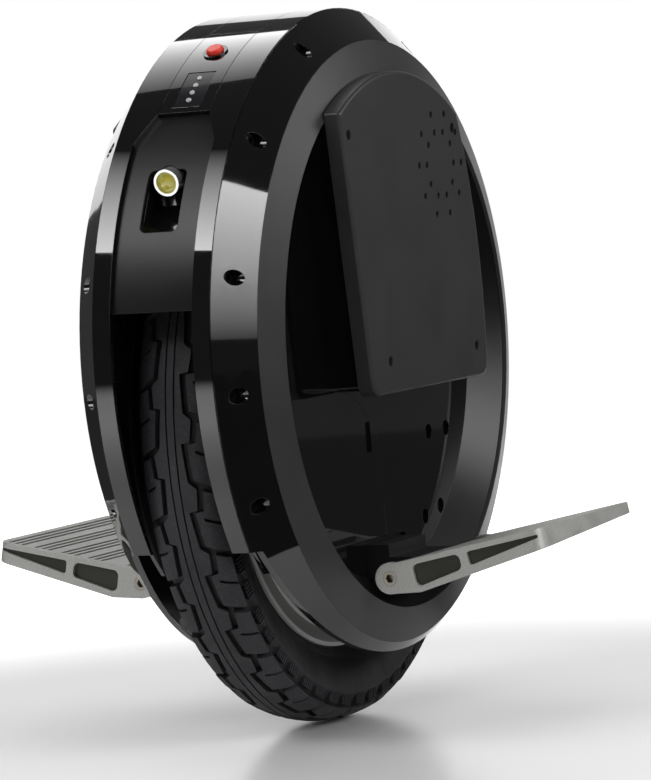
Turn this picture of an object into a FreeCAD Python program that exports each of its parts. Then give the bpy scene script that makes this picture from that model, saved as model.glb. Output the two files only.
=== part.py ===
"""Electric unicycle: one wheel with a hub motor inside a round shell, two folding pedals.

Millimetres. The origin is on the ground under the axle, +X points to the rider's left along the axle,
-Y is the front with the headlight, and +Z is up. Angles on the shell's spine are degrees above the
horizontal, seen from the shell's centre, counted from the front.
"""
import FreeCAD, Part
import math
import os

V = FreeCAD.Vector
ORIGIN = V(0, 0, 0)
AXIS_X = V(1, 0, 0)
AXIS_Y = V(0, 1, 0)
AXIS_Z = V(0, 0, 1)

# Clearances
SEAM = 0.3              # gap at a visible seam and between bodies that pass each other
SEAT = 0.1              # gap between a piece and the face that carries it
PRESS = 0.02            # radial gap of a part pressed or screwed home
RUNNING = 0.05          # radial gap of a shaft that turns in its hole

# Wheel
TYRE_RADIUS = 184.0
TYRE_HALF_WIDTH = 28.5
TREAD_INSET = 4.6       # from the shoulder in to the tread's edge
TREAD_DROP = 5.2        # the tread's edge lies this far inside the tyre's crown
SHOULDER_INSET = 2.9    # from the tyre's side in to its shoulder
SHOULDER_DROP = 11.5
TREAD_DEPTH = 3.0
TREAD_GROOVE = 2.6      # width of a groove round the tread
CASING = 4.0            # tyre wall under the tread and at the side
TUBE_WALL = 1.6
TYRE_HEIGHT = 45.0      # from the rim's flange to the crown
RIM_INSET = 15.3        # from the tyre's side in to the rim's
RIM_FLANGE = 2.2        # flange thickness
RIM_FLANGE_HEIGHT = 12.0
BEAD_WIDTH = 5.0
WELL_DEPTH = 5.0
WELL_HALF_WIDTH = 4.0
DRUM_INSET = 2.5        # from the tyre's side in to the motor drum's
DRUM_WALL = 9.0         # from the motor lid's seat out to the drum's skin
DRUM_DRAFT = 3.0        # the drum narrows by this much towards its sides
DRUM_POCKET_COUNT = 18  # shallow pockets round each end of the drum
DRUM_POCKET_SHARE = 0.7
DRUM_POCKET_DEPTH = 4.0
DRUM_POCKET_MARGIN = 3.0
LID_RECESS = 6.0        # from the drum's side in to the motor lid's seat
LID_SCREW_INSET = 6.0   # from the well's floor in to the lid's screws
MOTOR_INSET = 4.0       # from those screws in to the rim's bore
YOKE_WALL = 4.0
MAGNET_COUNT = 40
MAGNET_WALL = 3.0
MAGNET_INSET = 3.0      # from the motor's side
MAGNET_GAP_DEG = 1.2
AIR_GAP = 0.8
SLOT_COUNT = 36
SLOT_DEPTH = 22.0
SLOT_WIDTH = 7.0
STATOR_INSET = 5.0      # from the motor's side
STATOR_BACK = 20.0      # ring of laminations inside the slots
STATOR_SPOKE = 12.0
WINDING_OVERHANG = 3.0
COIL_INSET = 2.0        # below the core's rim
LID_WALL = 3.5          # motor lid plate
LID_HUB_RADIUS = 27.0
LID_HUB_DRAFT = 1.0     # its hub narrows by this much outwards
LID_POCKET_COUNT = 10
LID_POCKET_INSET = 12.0 # from the hub out to the pockets
LID_POCKET_DEPTH = 1.5
LID_SCREW_COUNT = 12
LID_SCREW_RADIUS = 2.0
BEARING_RADIUS = 20.0
BEARING_WIDTH = 12.0
HUB_WALL = 1.5          # in front of the bearing
HUB_GAP = 3.0           # from the hub to the frame
AXLE_RADIUS = 8.5
VALVE_RADIUS = 2.6
VALVE_RISE = 1.8        # above the well's floor
VALVE_PROUD = 4.0       # outside the drum's side
VALVE_CAP_WALL = 0.8

# Shell: an outline of (x, radius) about the shell's own centre
SHELL_RISE = 43.0       # the shell's centre lies this far above the axle
LIP_MARGIN = 16.0       # the lips stand this far outside the tyre's radius
LIP_WALL = 3.0
CROWN_OVERHANG = 5.5    # from the frame plate's inner face to the crown
BAND_WIDTH = 19.6       # along the axle
BAND_DROP = 20.3        # towards the shell's centre
BEZEL_WIDTH = 7.2
BEZEL_DROP = 20.8
DISH_DEPTH = 19.8
DISH_DROP = 16.9
COVER_WALL = 3.0
BEZEL_WALL = 2.5
TYRE_SIDE_GAP = 3.0     # from the tyre to the frame plate beside it
FRAME_WALL = 2.5
LIP_END_RISE = 26.5     # the lips stop this far above the pedals' hinges
FRAME_END_RISE = 11.5
LOW_EDGE_STEP = 5.4     # the side cover's lower edge starts this far inside the lips' radius
LOW_EDGE_TRIM = 15.0    # and runs this far inside it at its lowest
ARCH_GAP = 4.0          # from the tyre to the wheel arch
ARCH_WALL = 2.5
ARCH_START_DEG = 25.0   # above the axle, at the front and at the rear
FRAME_TUCK = 4.5        # from the side cover's lower edge in to the frame's

# Screws that hold each side cover
SCREW_HEAD_RADIUS = 4.2
SCREW_WELL_RADIUS = 4.5
SCREW_BOSS_WALL = 2.0
SCREW_SEAT_RISE = 6.0   # from the frame to the seat of the head
SCREW_HEAD = 3.2
SCREW_SHANK_RADIUS = 2.0
SCREW_SOCKET_RADIUS = 1.7
SCREW_SOCKET_DEPTH = 1.8
SCREW_INSET = 10.2      # from the lips' radius
SCREW_ANGLES = (-25.0, -5.0, 15.0, 41.0, 67.0)

# Spine between the side shells
PANEL_HALF_WIDTH = 16.5
SPINE_HALF_WIDTH = 26.0
SPINE_WALL = 2.5
COVER_BOTTOM_DEG = 9.5
TAPER_START_DEG = 39.4
PANEL_START_DEG = 45.8
HANDLE_START_DEG = 70.3
COVER_TUCK_DEG = 1.5    # the covers reach this far under the panels
BRIDGE_GAP_DEG = 0.5

# Headlight in the front cover
LAMP_WINDOW_HALF_WIDTH = 12.0
LAMP_WINDOW_LOW_DEG = 23.0
LAMP_WINDOW_HIGH_DEG = 34.5
LAMP_WINDOW_CORNER = 4.0
LAMP_DEG = 31.9
LAMP_PITCH_DEG = 12.0   # the lamp looks this far below the horizontal
LAMP_RING_RADIUS = 7.8
LAMP_RING_WALL = 1.5
LAMP_LENS_RADIUS = 5.4
LAMP_LENS_INSET = 2.0   # from the ring's ends to the lens
LAMP_TUBE = 11.0
LAMP_HEEL = 2.5         # the lamp's base behind its ring
LAMP_POCKET_WALL = 1.5
LAMP_POCKET_DEPTH = 13.0
LAMP_POCKET_SHALLOW = 2.5

# Control panel
BUTTON_DEG = 62.2
BUTTON_RADIUS = 5.0
BUTTON_PROUD = 3.4
BUTTON_TRAVEL = 1.5
BUTTON_BODY = 7.0       # button length inside its collar
COLLAR_WALL = 1.2
COLLAR_FLANGE_RADIUS = 7.4
COLLAR_FLANGE = 1.0
SWITCH_DEPTH = 9.0
WINDOW_LOW_DEG = 47.0
WINDOW_HIGH_DEG = 56.1
WINDOW_HALF_WIDTH = 9.0
WINDOW_DEPTH = 1.0
LED_COUNT = 4
LED_RADIUS = 1.6
LED_FIRST_DEG = 48.7
LED_STEP_DEG = 1.9
LED_PROUD = 0.4

# Tail light and charging socket in the rear cover
TAIL_LOW_DEG = 22.0
TAIL_HIGH_DEG = 30.0
TAIL_HALF_WIDTH = 13.0
TAIL_PROUD = 2.1
SOCKET_DEG = 40.0
SOCKET_BORE_RADIUS = 6.0
SOCKET_DEPTH = 9.0
SOCKET_WALL = 2.5
SOCKET_FLANGE_RADIUS = 11.5
SOCKET_FLANGE = 1.6
SOCKET_FLOOR = 2.0
SOCKET_CONTACT_COUNT = 3 # holes in its floor for the plug's pins
SOCKET_CONTACT_RADIUS = 0.9
SOCKET_CONTACT_CIRCLE = 3.0
SOCKET_CONTACT_DEPTH = 1.2

# Lifting handle on top
GRIP_HEIGHT = 18.0      # in its middle
LEG_HALF_WIDTH = 7.0
LEG_THICKNESS = 6.0
LEG_FRONT_INSET = 13.0  # from the grip's ends
LEG_REAR_INSET = 15.0
FOOT_HEIGHT = 3.0
FOOT_OVERHANG = 2.5
FOOT_GAP = 0.5          # above the wheel arch
TRAY_WALL = 2.5
SLEEVE_HEIGHT = 7.0

# Side plates: (y, z) corners from the shell's centre
PLATE_GAP = 0.2         # outside the bezel's crest
PLATE_THICKNESS = 10.5
PLATE_BOTTOM = -29.0    # its lower edge, from the shell's centre
PLATE_FRONT_INSET = 92.4 # from the crest in to its lower corners
PLATE_REAR_INSET = 57.4
PLATE_BULGE_INSET = 57.9 # from the crest in to the middle of its rear edge
PLATE_BULGE_Z = 48.0
PLATE_TOP_RISE = 1.1    # its top's middle lies this far outside the crest
PLATE_TOP_SHIFT = -4.0
PLATE_FRONT_RISE = 4.2  # and its top corners this far
PLATE_FRONT_DEG = 57.1
PLATE_REAR_RISE = -3.7
PLATE_REAR_DEG = 59.0
PLATE_CORNER = 9.0      # at its lower corners
PLATE_TOP_CORNER = 2.5
PLATE_EDGE = 2.0
PLATE_SCREW_OFFSETS = ((9.5, -13.0), (24.5, 19.0), (-15.0, 19.0), (-9.0, -9.0))  # from its corners
PLATE_SCREW_RADIUS = 3.0
PLATE_SCREW_SHANK_RADIUS = 1.6
PLATE_SCREW_BOSS_RADIUS = 5.5
PLATE_SCREW_GRIP = 4.0    # plate left under the screw's head
BOX_INSET = 3.0         # from the plate's edge to the box wall behind it
BOX_WALL = 2.5
SPEAKER_INSET = 51.0    # from the plate's rear edge
SPEAKER_DROP = 56.0     # below the crest
SPEAKER_RING_RADII = (20.0, 31.5)
SPEAKER_RING_COUNTS = (10, 10)
SPEAKER_HOLE_RADIUS = 2.1
SPEAKER_RADIUS = 23.0
SPEAKER_DEPTH = 14.0
SPEAKER_MAGNET_RADIUS = 14.0
SPEAKER_FLANGE = 2.0

# Access cover in the side cover's floor
ACCESS_TOP = -25.0
ACCESS_REAR_Y = 1.5
ACCESS_CORNER = 60.0
ACCESS_MARGIN = 5.0     # from the floor's edge
ACCESS_THICKNESS = 1.8
ACCESS_LEDGE = 4.0
ACCESS_BOTTOM_GAP = 2.5 # above the pedal bracket
ACCESS_TAB_WIDTH = 12.0
ACCESS_TAB_HEIGHT = 18.0
ACCESS_TAB_PROUD = 1.6
ACCESS_TAB_CENTRE = (-9.0, -56.0)

# Bolts behind the access cover, in wells through the floor into the frame
FLOOR_BOLT_INSETS = (46.5, 24.9, 15.0, 5.3)   # from the floor's edge
FLOOR_BOLT_DEGS = (39.7, 31.4, 61.8, 52.1)    # below the horizontal, at the rear
FLOOR_BOLT_RADIUS = 3.6
FLOOR_BOLT_SHANK_RADIUS = 2.0
FLOOR_BOLT_HEAD = 2.6
FLOOR_BOSS_RADIUS = 5.0
FLOOR_WELL_RADIUS = 4.7
FLOOR_WELL_DEPTH = 5.0

# Pedals and the brackets that carry them
HINGE_OVERHANG = 17.8   # outside the bezel's crest
HINGE_INSET = 8.5       # above the floor's lower edge
PEDAL_CENTRE_Y = -7.0
PEDAL_LENGTH = 146.0
PEDAL_REACH = 99.0
PEDAL_TILT_DEG = 11.2
DECK_TOP = 8.2          # above the hinge axis, square to the deck
DECK_WALL = 4.0
DECK_INNER_X = 13.0
PEDAL_SIDE = 5.0
PEDAL_KNEE = (17.5, -11.8)
PEDAL_TIP_BOTTOM = -3.8 # at the front
PEDAL_REAR_RISE = 5.3   # the lower edge lies this much higher at the rear
PEDAL_BOSS_RADIUS = 9.2
PEDAL_CORNER = 8.0
PEDAL_POCKET = 2.2      # depth of the two pockets in the front wall
PEDAL_POCKET_START = 15.5
PEDAL_POCKET_END = 3.0  # from the tip
PEDAL_STRUT_X = 48.6    # between the pockets
PEDAL_STRUT = 5.0
PEDAL_FRAME = 3.4       # metal left above the pockets, and below them near the hinge
PEDAL_TIP_FRAME = 7.0   # below them at the tip
PEDAL_POCKET_CORNER = 3.6
PEDAL_RIB_COUNT = 2
GROOVE_GROUP_COUNT = 4
GROOVE_COUNT = 3        # in each group
GROOVE_WIDTH = 2.0
GROOVE_STEP = 4.45
GROOVE_GROUP_STEP = 18.35
GROOVE_DEPTH = 1.0
GROOVE_FIRST_X = 28.2
GROOVE_END_MARGIN = 3.5
PIN_RADIUS = 4.4
PIN_SOCKET_RADIUS = 2.6
PIN_SOCKET_DEPTH = 4.0
BARREL_RADIUS = 8.2
HANGER_HALF_WIDTH = 38.0
HANGER_BLOCK_HALF_WIDTH = 27.0
HANGER_BLOCK_TOP = 14.0 # above the hinge axis
HANGER_BLOCK_INSET = 5.8 # inside the bezel's crest
HANGER_ARM_HALF_HEIGHT = 6.5
HANGER_STOP_REACH = 20.0
HANGER_STOP_WALL = 6.0
HANGER_SLOT_MARGIN = 2.0
CLAMP_HEIGHT = 18.0
CLAMP_SCREW_Y = 15.0
CLAMP_SCREW_RADIUS = 2.5
CLAMP_SCREW_LENGTH = 30.0

# Electronics
BATTERY_GAP = 0.3
BATTERY_THICKNESS = 20.5
BATTERY_SIDE_GAP = 0.7  # to the plate screws' bosses
BATTERY_TOP_GAP = 98.0  # below the crest, under the control board
BATTERY_TALL_GAP = 64.0 # the same on the side without the board
BATTERY_EDGE = 4.0
BOARD_SIZE = (74.0, 50.0)
BOARD_INSET = 56.6      # from the plate's upper front corner
BOARD_DROP = 55.0       # below the crest
BOARD_WALL = 1.6
SINK_WALL = 4.0
CAPACITOR_RADIUS = 6.0
CAPACITOR_HEIGHT = 12.0
CAPACITOR_STEP = 16.0
CAPACITOR_COUNT = 4

# Places worked out from the sizes above
AXLE_Z = TYRE_RADIUS
SHELL_Z = AXLE_Z + SHELL_RISE
SHOULDER_HALF_WIDTH = TYRE_HALF_WIDTH - SHOULDER_INSET
TREAD_HALF_WIDTH = SHOULDER_HALF_WIDTH - TREAD_INSET
RIM_HALF_WIDTH = TYRE_HALF_WIDTH - RIM_INSET
RIM_FLANGE_RADIUS = TYRE_RADIUS - TYRE_HEIGHT
BEAD_RADIUS = RIM_FLANGE_RADIUS - RIM_FLANGE_HEIGHT
WELL_RADIUS = BEAD_RADIUS - WELL_DEPTH
VALVE_CIRCLE = WELL_RADIUS + VALVE_RISE
DRUM_HALF_WIDTH = TYRE_HALF_WIDTH - DRUM_INSET
VALVE_END_X = DRUM_HALF_WIDTH + VALVE_PROUD
LID_SCREW_CIRCLE = WELL_RADIUS - LID_SCREW_INSET
LID_SEAT_RADIUS = LID_SCREW_CIRCLE + 2 * LID_SCREW_RADIUS
DRUM_RADIUS = LID_SEAT_RADIUS + DRUM_WALL
MOTOR_RADIUS = LID_SCREW_CIRCLE - MOTOR_INSET
MOTOR_HALF_WIDTH = DRUM_HALF_WIDTH - LID_RECESS
MAGNET_HALF_WIDTH = MOTOR_HALF_WIDTH - MAGNET_INSET
STATOR_HALF_WIDTH = MOTOR_HALF_WIDTH - STATOR_INSET
STATOR_RADIUS = MOTOR_RADIUS - YOKE_WALL - MAGNET_WALL - AIR_GAP
STATOR_WINDOW = STATOR_RADIUS - SLOT_DEPTH - STATOR_BACK
LIP_RADIUS = TYRE_RADIUS + LIP_MARGIN
LIP_INNER = LIP_RADIUS - LIP_WALL
SCREW_CIRCLE = LIP_RADIUS - SCREW_INSET
BAND_RADIUS = LIP_RADIUS - BAND_DROP
CREST_RADIUS = BAND_RADIUS - BEZEL_DROP
FLOOR_RADIUS = CREST_RADIUS - DISH_DROP
FRAME_INNER_X = TYRE_HALF_WIDTH + TYRE_SIDE_GAP
FRAME_OUTER_X = FRAME_INNER_X + FRAME_WALL
CROWN_X = FRAME_INNER_X + CROWN_OVERHANG
BAND_X = CROWN_X + BAND_WIDTH
CREST_X = BAND_X + BEZEL_WIDTH
FLOOR_X = CREST_X - DISH_DEPTH
FLOOR_INNER_X = FLOOR_X - COVER_WALL
SCREW_SEAT_X = FRAME_OUTER_X + SCREW_SEAT_RISE
SCREW_FOOT_X = SCREW_SEAT_X - COVER_WALL
FLOOR_SEAT_X = FLOOR_X - FLOOR_WELL_DEPTH
FLOOR_FOOT_X = FLOOR_SEAT_X - COVER_WALL
HUB_HALF_WIDTH = FRAME_INNER_X - HUB_GAP
BEARING_INNER_X = HUB_HALF_WIDTH - HUB_WALL - BEARING_WIDTH
PLATE_BACK_X = CREST_X + PLATE_GAP
PLATE_FACE_X = PLATE_BACK_X + PLATE_THICKNESS
SPINE_OUTER = LIP_INNER - SEAT
SPINE_INNER = SPINE_OUTER - SPINE_WALL
SPINE_REACH = FRAME_INNER_X - SEAT
SEAM_DEG = math.degrees(SEAM / LIP_RADIUS)
HANDLE_END_DEG = 180.0 - HANDLE_START_DEG
BRIDGE_START_DEG = PANEL_START_DEG + COVER_TUCK_DEG + BRIDGE_GAP_DEG
AXLE_HALF_LENGTH = FLOOR_INNER_X - SEAT
ARCH_OUTER = TYRE_RADIUS + ARCH_GAP + ARCH_WALL
HINGE_X = CREST_X + HINGE_OVERHANG
HINGE_DROP = FLOOR_RADIUS - HINGE_INSET
HINGE_Z = SHELL_Z - HINGE_DROP
LIP_END_DROP = HINGE_DROP - LIP_END_RISE
FRAME_END_DROP = HINGE_DROP - FRAME_END_RISE
LOW_EDGE_DROP = LIP_RADIUS - LOW_EDGE_TRIM
# The side cover's lower edge is an arc about a higher centre, from the lips' ends to its lowest point
LOW_EDGE_START = LIP_RADIUS - LOW_EDGE_STEP
LOW_ARC_RISE = (LOW_EDGE_START ** 2 - LOW_EDGE_DROP ** 2) / (2 * (LOW_EDGE_DROP - LIP_END_DROP))
LOW_ARC_RADIUS = LOW_EDGE_DROP + LOW_ARC_RISE
LOW_ARC_Z = SHELL_Z + LOW_ARC_RISE
HANGER_BLOCK_END_X = CREST_X - HANGER_BLOCK_INSET
ACCESS_BOTTOM = HANGER_BLOCK_TOP + ACCESS_BOTTOM_GAP - HINGE_DROP
GRIP_UNDERSIDE = LIP_RADIUS - GRIP_HEIGHT
TRAY_FLOOR_TOP = GRIP_UNDERSIDE - SEAM
PLATE_BOTTOM_FRONT = (PLATE_FRONT_INSET - CREST_RADIUS, PLATE_BOTTOM)
PLATE_BOTTOM_REAR = (CREST_RADIUS - PLATE_REAR_INSET, PLATE_BOTTOM)
PLATE_REAR_BULGE = (CREST_RADIUS - PLATE_BULGE_INSET, PLATE_BULGE_Z)
SPEAKER_CENTRE = (PLATE_REAR_BULGE[0] - SPEAKER_INSET, CREST_RADIUS - SPEAKER_DROP)
FAR = 400.0             # longer than anything here, for cutting tools

pieces = {}


def polar(radius, angle_deg, side):
    """A (y, z) place from the shell's centre, by its distance and its angle above the front or the rear."""
    angle = math.radians(angle_deg)
    return side * radius * math.cos(angle), radius * math.sin(angle)


PLATE_TOP_MIDDLE = (PLATE_TOP_SHIFT, CREST_RADIUS + PLATE_TOP_RISE)
PLATE_TOP_FRONT = polar(CREST_RADIUS + PLATE_FRONT_RISE, PLATE_FRONT_DEG, -1)
PLATE_TOP_REAR = polar(CREST_RADIUS + PLATE_REAR_RISE, PLATE_REAR_DEG, 1)
BOARD_CENTRE = (PLATE_TOP_FRONT[0] + BOARD_INSET, CREST_RADIUS - BOARD_DROP)
PLATE_CORNERS = (PLATE_TOP_FRONT, PLATE_BOTTOM_FRONT, PLATE_BOTTOM_REAR, PLATE_TOP_REAR)
PLATE_SCREWS = tuple((y + dy, z + dz) for (y, z), (dy, dz) in zip(PLATE_CORNERS, PLATE_SCREW_OFFSETS))
FLOOR_BOLTS = tuple(polar(FLOOR_RADIUS - inset, -below, 1)
                    for inset, below in zip(FLOOR_BOLT_INSETS, FLOOR_BOLT_DEGS))


def turned(outline, centre_z, start_deg=0.0, sweep_deg=360.0):
    """Turn a closed (x, radius) outline about the X axis at a height, from the front upwards."""
    points = [V(x, -radius, centre_z) for x, radius in outline]
    face = Part.Face(Part.makePolygon(points + points[:1]))
    face.rotate(V(0, 0, centre_z), AXIS_X, -start_deg)
    return face.revolve(V(0, 0, centre_z), AXIS_X, -sweep_deg)


def band(x_low, x_high, inner, outer, centre_z, start_deg=0.0, sweep_deg=360.0):
    """A ring, or part of one, with a rectangular section."""
    outline = [(x_low, inner), (x_low, outer), (x_high, outer), (x_high, inner)]
    return turned(outline, centre_z, start_deg, sweep_deg)


def beside(line, distance):
    """An open (x, radius) line moved to its right by a distance, with mitred corners."""
    normals = []
    for (x0, r0), (x1, r1) in zip(line, line[1:]):
        length = math.hypot(x1 - x0, r1 - r0)
        normals.append(((r1 - r0) / length, (x0 - x1) / length))
    moved = []
    for index, (x, radius) in enumerate(line):
        before = normals[max(index - 1, 0)]
        after = normals[min(index, len(normals) - 1)]
        reach = distance / (1 + before[0] * after[0] + before[1] * after[1])
        moved.append((x + reach * (before[0] + after[0]), radius + reach * (before[1] + after[1])))
    return moved


def crossing(line_a, line_b):
    """The point where two (x, radius) lines, each given by two points, cross."""
    (ax, ar), (bx, br) = line_a
    (cx, cr), (dx, dr) = line_b
    det = (bx - ax) * (dr - cr) - (br - ar) * (dx - cx)
    share = ((cx - ax) * (dr - cr) - (cr - ar) * (dx - cx)) / det
    return ax + share * (bx - ax), ar + share * (br - ar)


def box(low, high):
    """A box between two corners."""
    return Part.makeBox(high[0] - low[0], high[1] - low[1], high[2] - low[2], V(*low))


def rod(radius, start, direction, length):
    """A cylinder from a point along a direction."""
    return Part.makeCylinder(radius, length, start, direction)


def tube(outer, inner, start, direction, length):
    """A hollow cylinder."""
    return rod(outer, start, direction, length).cut(rod(inner, start, direction, length))


def hexagon(radius, start, direction, length):
    """A hexagonal bar along a direction, with its corners on a circle."""
    turn = FreeCAD.Rotation(AXIS_Z, direction)
    points = []
    for corner in range(6):
        angle = math.radians(60 * corner)
        points.append(start + turn.multVec(V(radius * math.cos(angle), radius * math.sin(angle), 0)))
    return Part.Face(Part.makePolygon(points + points[:1])).extrude(direction * length)


def joined(shapes):
    """One solid made of several that meet."""
    whole = shapes[0].multiFuse(shapes[1:]) if len(shapes) > 1 else shapes[0]
    return whole.removeSplitter()


def mirrored_x(shape):
    """The same piece on the other side."""
    return shape.mirror(ORIGIN, AXIS_X)


def spine_point(angle_deg, radius, x=0.0):
    """A point on the spine, given by its angle above the front and its distance from the shell's centre."""
    angle = math.radians(angle_deg)
    return V(x, -radius * math.cos(angle), SHELL_Z + radius * math.sin(angle))


def spine_normal(angle_deg):
    """The outward direction on the spine."""
    angle = math.radians(angle_deg)
    return V(0, -math.cos(angle), math.sin(angle))


def side_point(x, place):
    """A point on a plane across the axle, from (y, z) counted from the shell's centre."""
    return V(x, place[0], SHELL_Z + place[1])


def section_line():
    """The side cover's outer line, from the crown to the middle of its floor, without the bezel's step."""
    band_line = ((CROWN_X, LIP_RADIUS), (BAND_X, BAND_RADIUS))
    bezel_top = [(BAND_X, BAND_RADIUS), (CREST_X, CREST_RADIUS)]
    bezel_low = beside(bezel_top, BEZEL_WALL)
    bend = crossing(band_line, bezel_low)
    return [band_line[0], bend, bezel_low[1], (FLOOR_X, FLOOR_RADIUS), (FLOOR_X, 0.0)], bezel_low


def band_x_at(radius):
    """Where the wide band's outer face lies at a radius."""
    share = (LIP_RADIUS - radius) / (LIP_RADIUS - BAND_RADIUS)
    return CROWN_X + share * (BAND_X - CROWN_X)


def plate_face(inset=0.0):
    """The side plate's outline on the plane x = 0, moved inwards by an inset."""
    corner = {
        "bottom_front": side_point(0, PLATE_BOTTOM_FRONT),
        "bottom_rear": side_point(0, PLATE_BOTTOM_REAR),
        "top_rear": side_point(0, PLATE_TOP_REAR),
        "top_front": side_point(0, PLATE_TOP_FRONT),
    }
    edges = [
        Part.LineSegment(corner["bottom_front"], corner["bottom_rear"]).toShape(),
        Part.Arc(corner["bottom_rear"], side_point(0, PLATE_REAR_BULGE), corner["top_rear"]).toShape(),
        Part.Arc(corner["top_rear"], side_point(0, PLATE_TOP_MIDDLE), corner["top_front"]).toShape(),
        Part.LineSegment(corner["top_front"], corner["bottom_front"]).toShape(),
    ]
    face = Part.Face(Part.Wire(edges))
    if inset:
        face = face.makeOffset2D(-inset)
    return face


def plate_block(x_low, x_high, inset=0.0):
    """A block with the side plate's outline and rounded corners."""
    block = plate_face(inset).extrude(V(x_high - x_low, 0, 0))
    block.translate(V(x_low, 0, 0))
    for upper, radius in ((False, PLATE_CORNER), (True, PLATE_TOP_CORNER)):
        corners = [edge for edge in block.Edges if is_along(edge, AXIS_X)]
        corners = [edge for edge in corners if (edge.CenterOfMass.z > SHELL_Z + PLATE_BULGE_Z) == upper]
        block = block.makeFillet(max(radius - inset, 1.0), corners)
    return block


def is_along(edge, direction):
    """True for a straight edge along a direction."""
    if not isinstance(edge.Curve, Part.Line):
        return False
    return edge.tangentAt(edge.FirstParameter).cross(direction).Length < 1e-6


def access_block(x_low, x_high, inset):
    """A block with the access cover's outline: a corner of the floor with one large round."""
    reach = FLOOR_RADIUS - ACCESS_MARGIN - inset
    top = ACCESS_TOP - inset
    rear = ACCESS_REAR_Y - inset
    bottom = ACCESS_BOTTOM + inset
    radius = ACCESS_CORNER - inset
    block = box((x_low, -FAR, SHELL_Z + bottom), (x_high, rear, SHELL_Z + top))
    corner = [e for e in block.Edges if is_along(e, AXIS_X) and near_corner(e, rear, SHELL_Z + top)]
    block = block.makeFillet(radius, corner)
    return block.common(rod(reach, V(x_low, 0, SHELL_Z), AXIS_X, x_high - x_low))


def near_corner(edge, y, z):
    """True for an edge along X that runs through a (y, z) place."""
    middle = edge.CenterOfMass
    return abs(middle.y - y) < 1e-6 and abs(middle.z - z) < 1e-6


def cover_screw_places():
    """Angles of the screws round one side cover, front and rear."""
    return list(SCREW_ANGLES) + [180.0 - angle for angle in SCREW_ANGLES]


def make_frame():
    """Two frame halves with the lips beside the spine, the plates under them and the arch over the tyre."""
    strip = band(PANEL_HALF_WIDTH, CROWN_X, LIP_INNER, LIP_RADIUS, SHELL_Z)
    plate = band(FRAME_INNER_X, FRAME_OUTER_X, 0.0, LIP_INNER + LIP_WALL / 2, SHELL_Z)
    half = strip.fuse(plate)
    for place in FLOOR_BOLTS:
        start = side_point(FRAME_INNER_X, place)
        half = half.fuse(rod(FLOOR_BOSS_RADIUS, start, AXIS_X, FLOOR_FOOT_X - SEAT - FRAME_INNER_X))
    for angle in cover_screw_places():
        start = spine_point(angle, SCREW_CIRCLE, FRAME_INNER_X)
        length = SCREW_FOOT_X - SEAT - FRAME_INNER_X
        half = half.fuse(rod(SCREW_BOSS_WALL + SCREW_SHANK_RADIUS, start, AXIS_X, length))
    open_sweep = 360.0 - (180.0 - 2 * TAPER_START_DEG)
    wide = band(0, SPINE_HALF_WIDTH, LIP_INNER - 1, LIP_RADIUS + 1, SHELL_Z, TAPER_START_DEG, -open_sweep)
    taper_length = math.radians(PANEL_START_DEG - TAPER_START_DEG) * LIP_RADIUS
    taper = [(SPINE_HALF_WIDTH, 0), (PANEL_HALF_WIDTH, taper_length), (0, taper_length), (0, 0)]
    points = [V(x, -LIP_INNER + 3 * LIP_WALL, SHELL_Z + along) for x, along in taper]
    wedge = Part.Face(Part.makePolygon(points + points[:1])).extrude(V(0, -6 * LIP_WALL, 0))
    wedge.rotate(V(0, 0, SHELL_Z), AXIS_X, -TAPER_START_DEG)
    below = box((0, -FAR, SHELL_Z - FAR), (CROWN_X + 1, FAR, SHELL_Z - LIP_END_DROP))
    lips_below = below.cut(rod(LOW_ARC_RADIUS - FRAME_TUCK, V(0, 0, LOW_ARC_Z), AXIS_X, FAR))
    low = box((0, -FAR, SHELL_Z - FAR), (CROWN_X + 1, FAR, SHELL_Z - FRAME_END_DROP))
    axle_hole = rod(LID_HUB_RADIUS, V(0, 0, AXLE_Z), AXIS_X, FAR)
    half = half.cut(wide).cut(wedge).cut(wedge.mirror(ORIGIN, AXIS_Y))
    half = half.cut(lips_below).cut(low).cut(axle_hole)
    for place in FLOOR_BOLTS:
        half = half.cut(rod(FLOOR_BOLT_SHANK_RADIUS + PRESS, side_point(0, place), AXIS_X, FAR))
    for angle in cover_screw_places():
        half = half.cut(rod(SCREW_SHANK_RADIUS + PRESS, spine_point(angle, SCREW_CIRCLE), AXIS_X, FAR))
    pieces["left_frame_half"] = half.removeSplitter()
    pieces["right_frame_half"] = mirrored_x(pieces["left_frame_half"])
    pieces["wheel_arch"] = band(-SPINE_REACH, SPINE_REACH, ARCH_OUTER - ARCH_WALL, ARCH_OUTER, AXLE_Z,
                                ARCH_START_DEG, 180.0 - 2 * ARCH_START_DEG)


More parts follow.
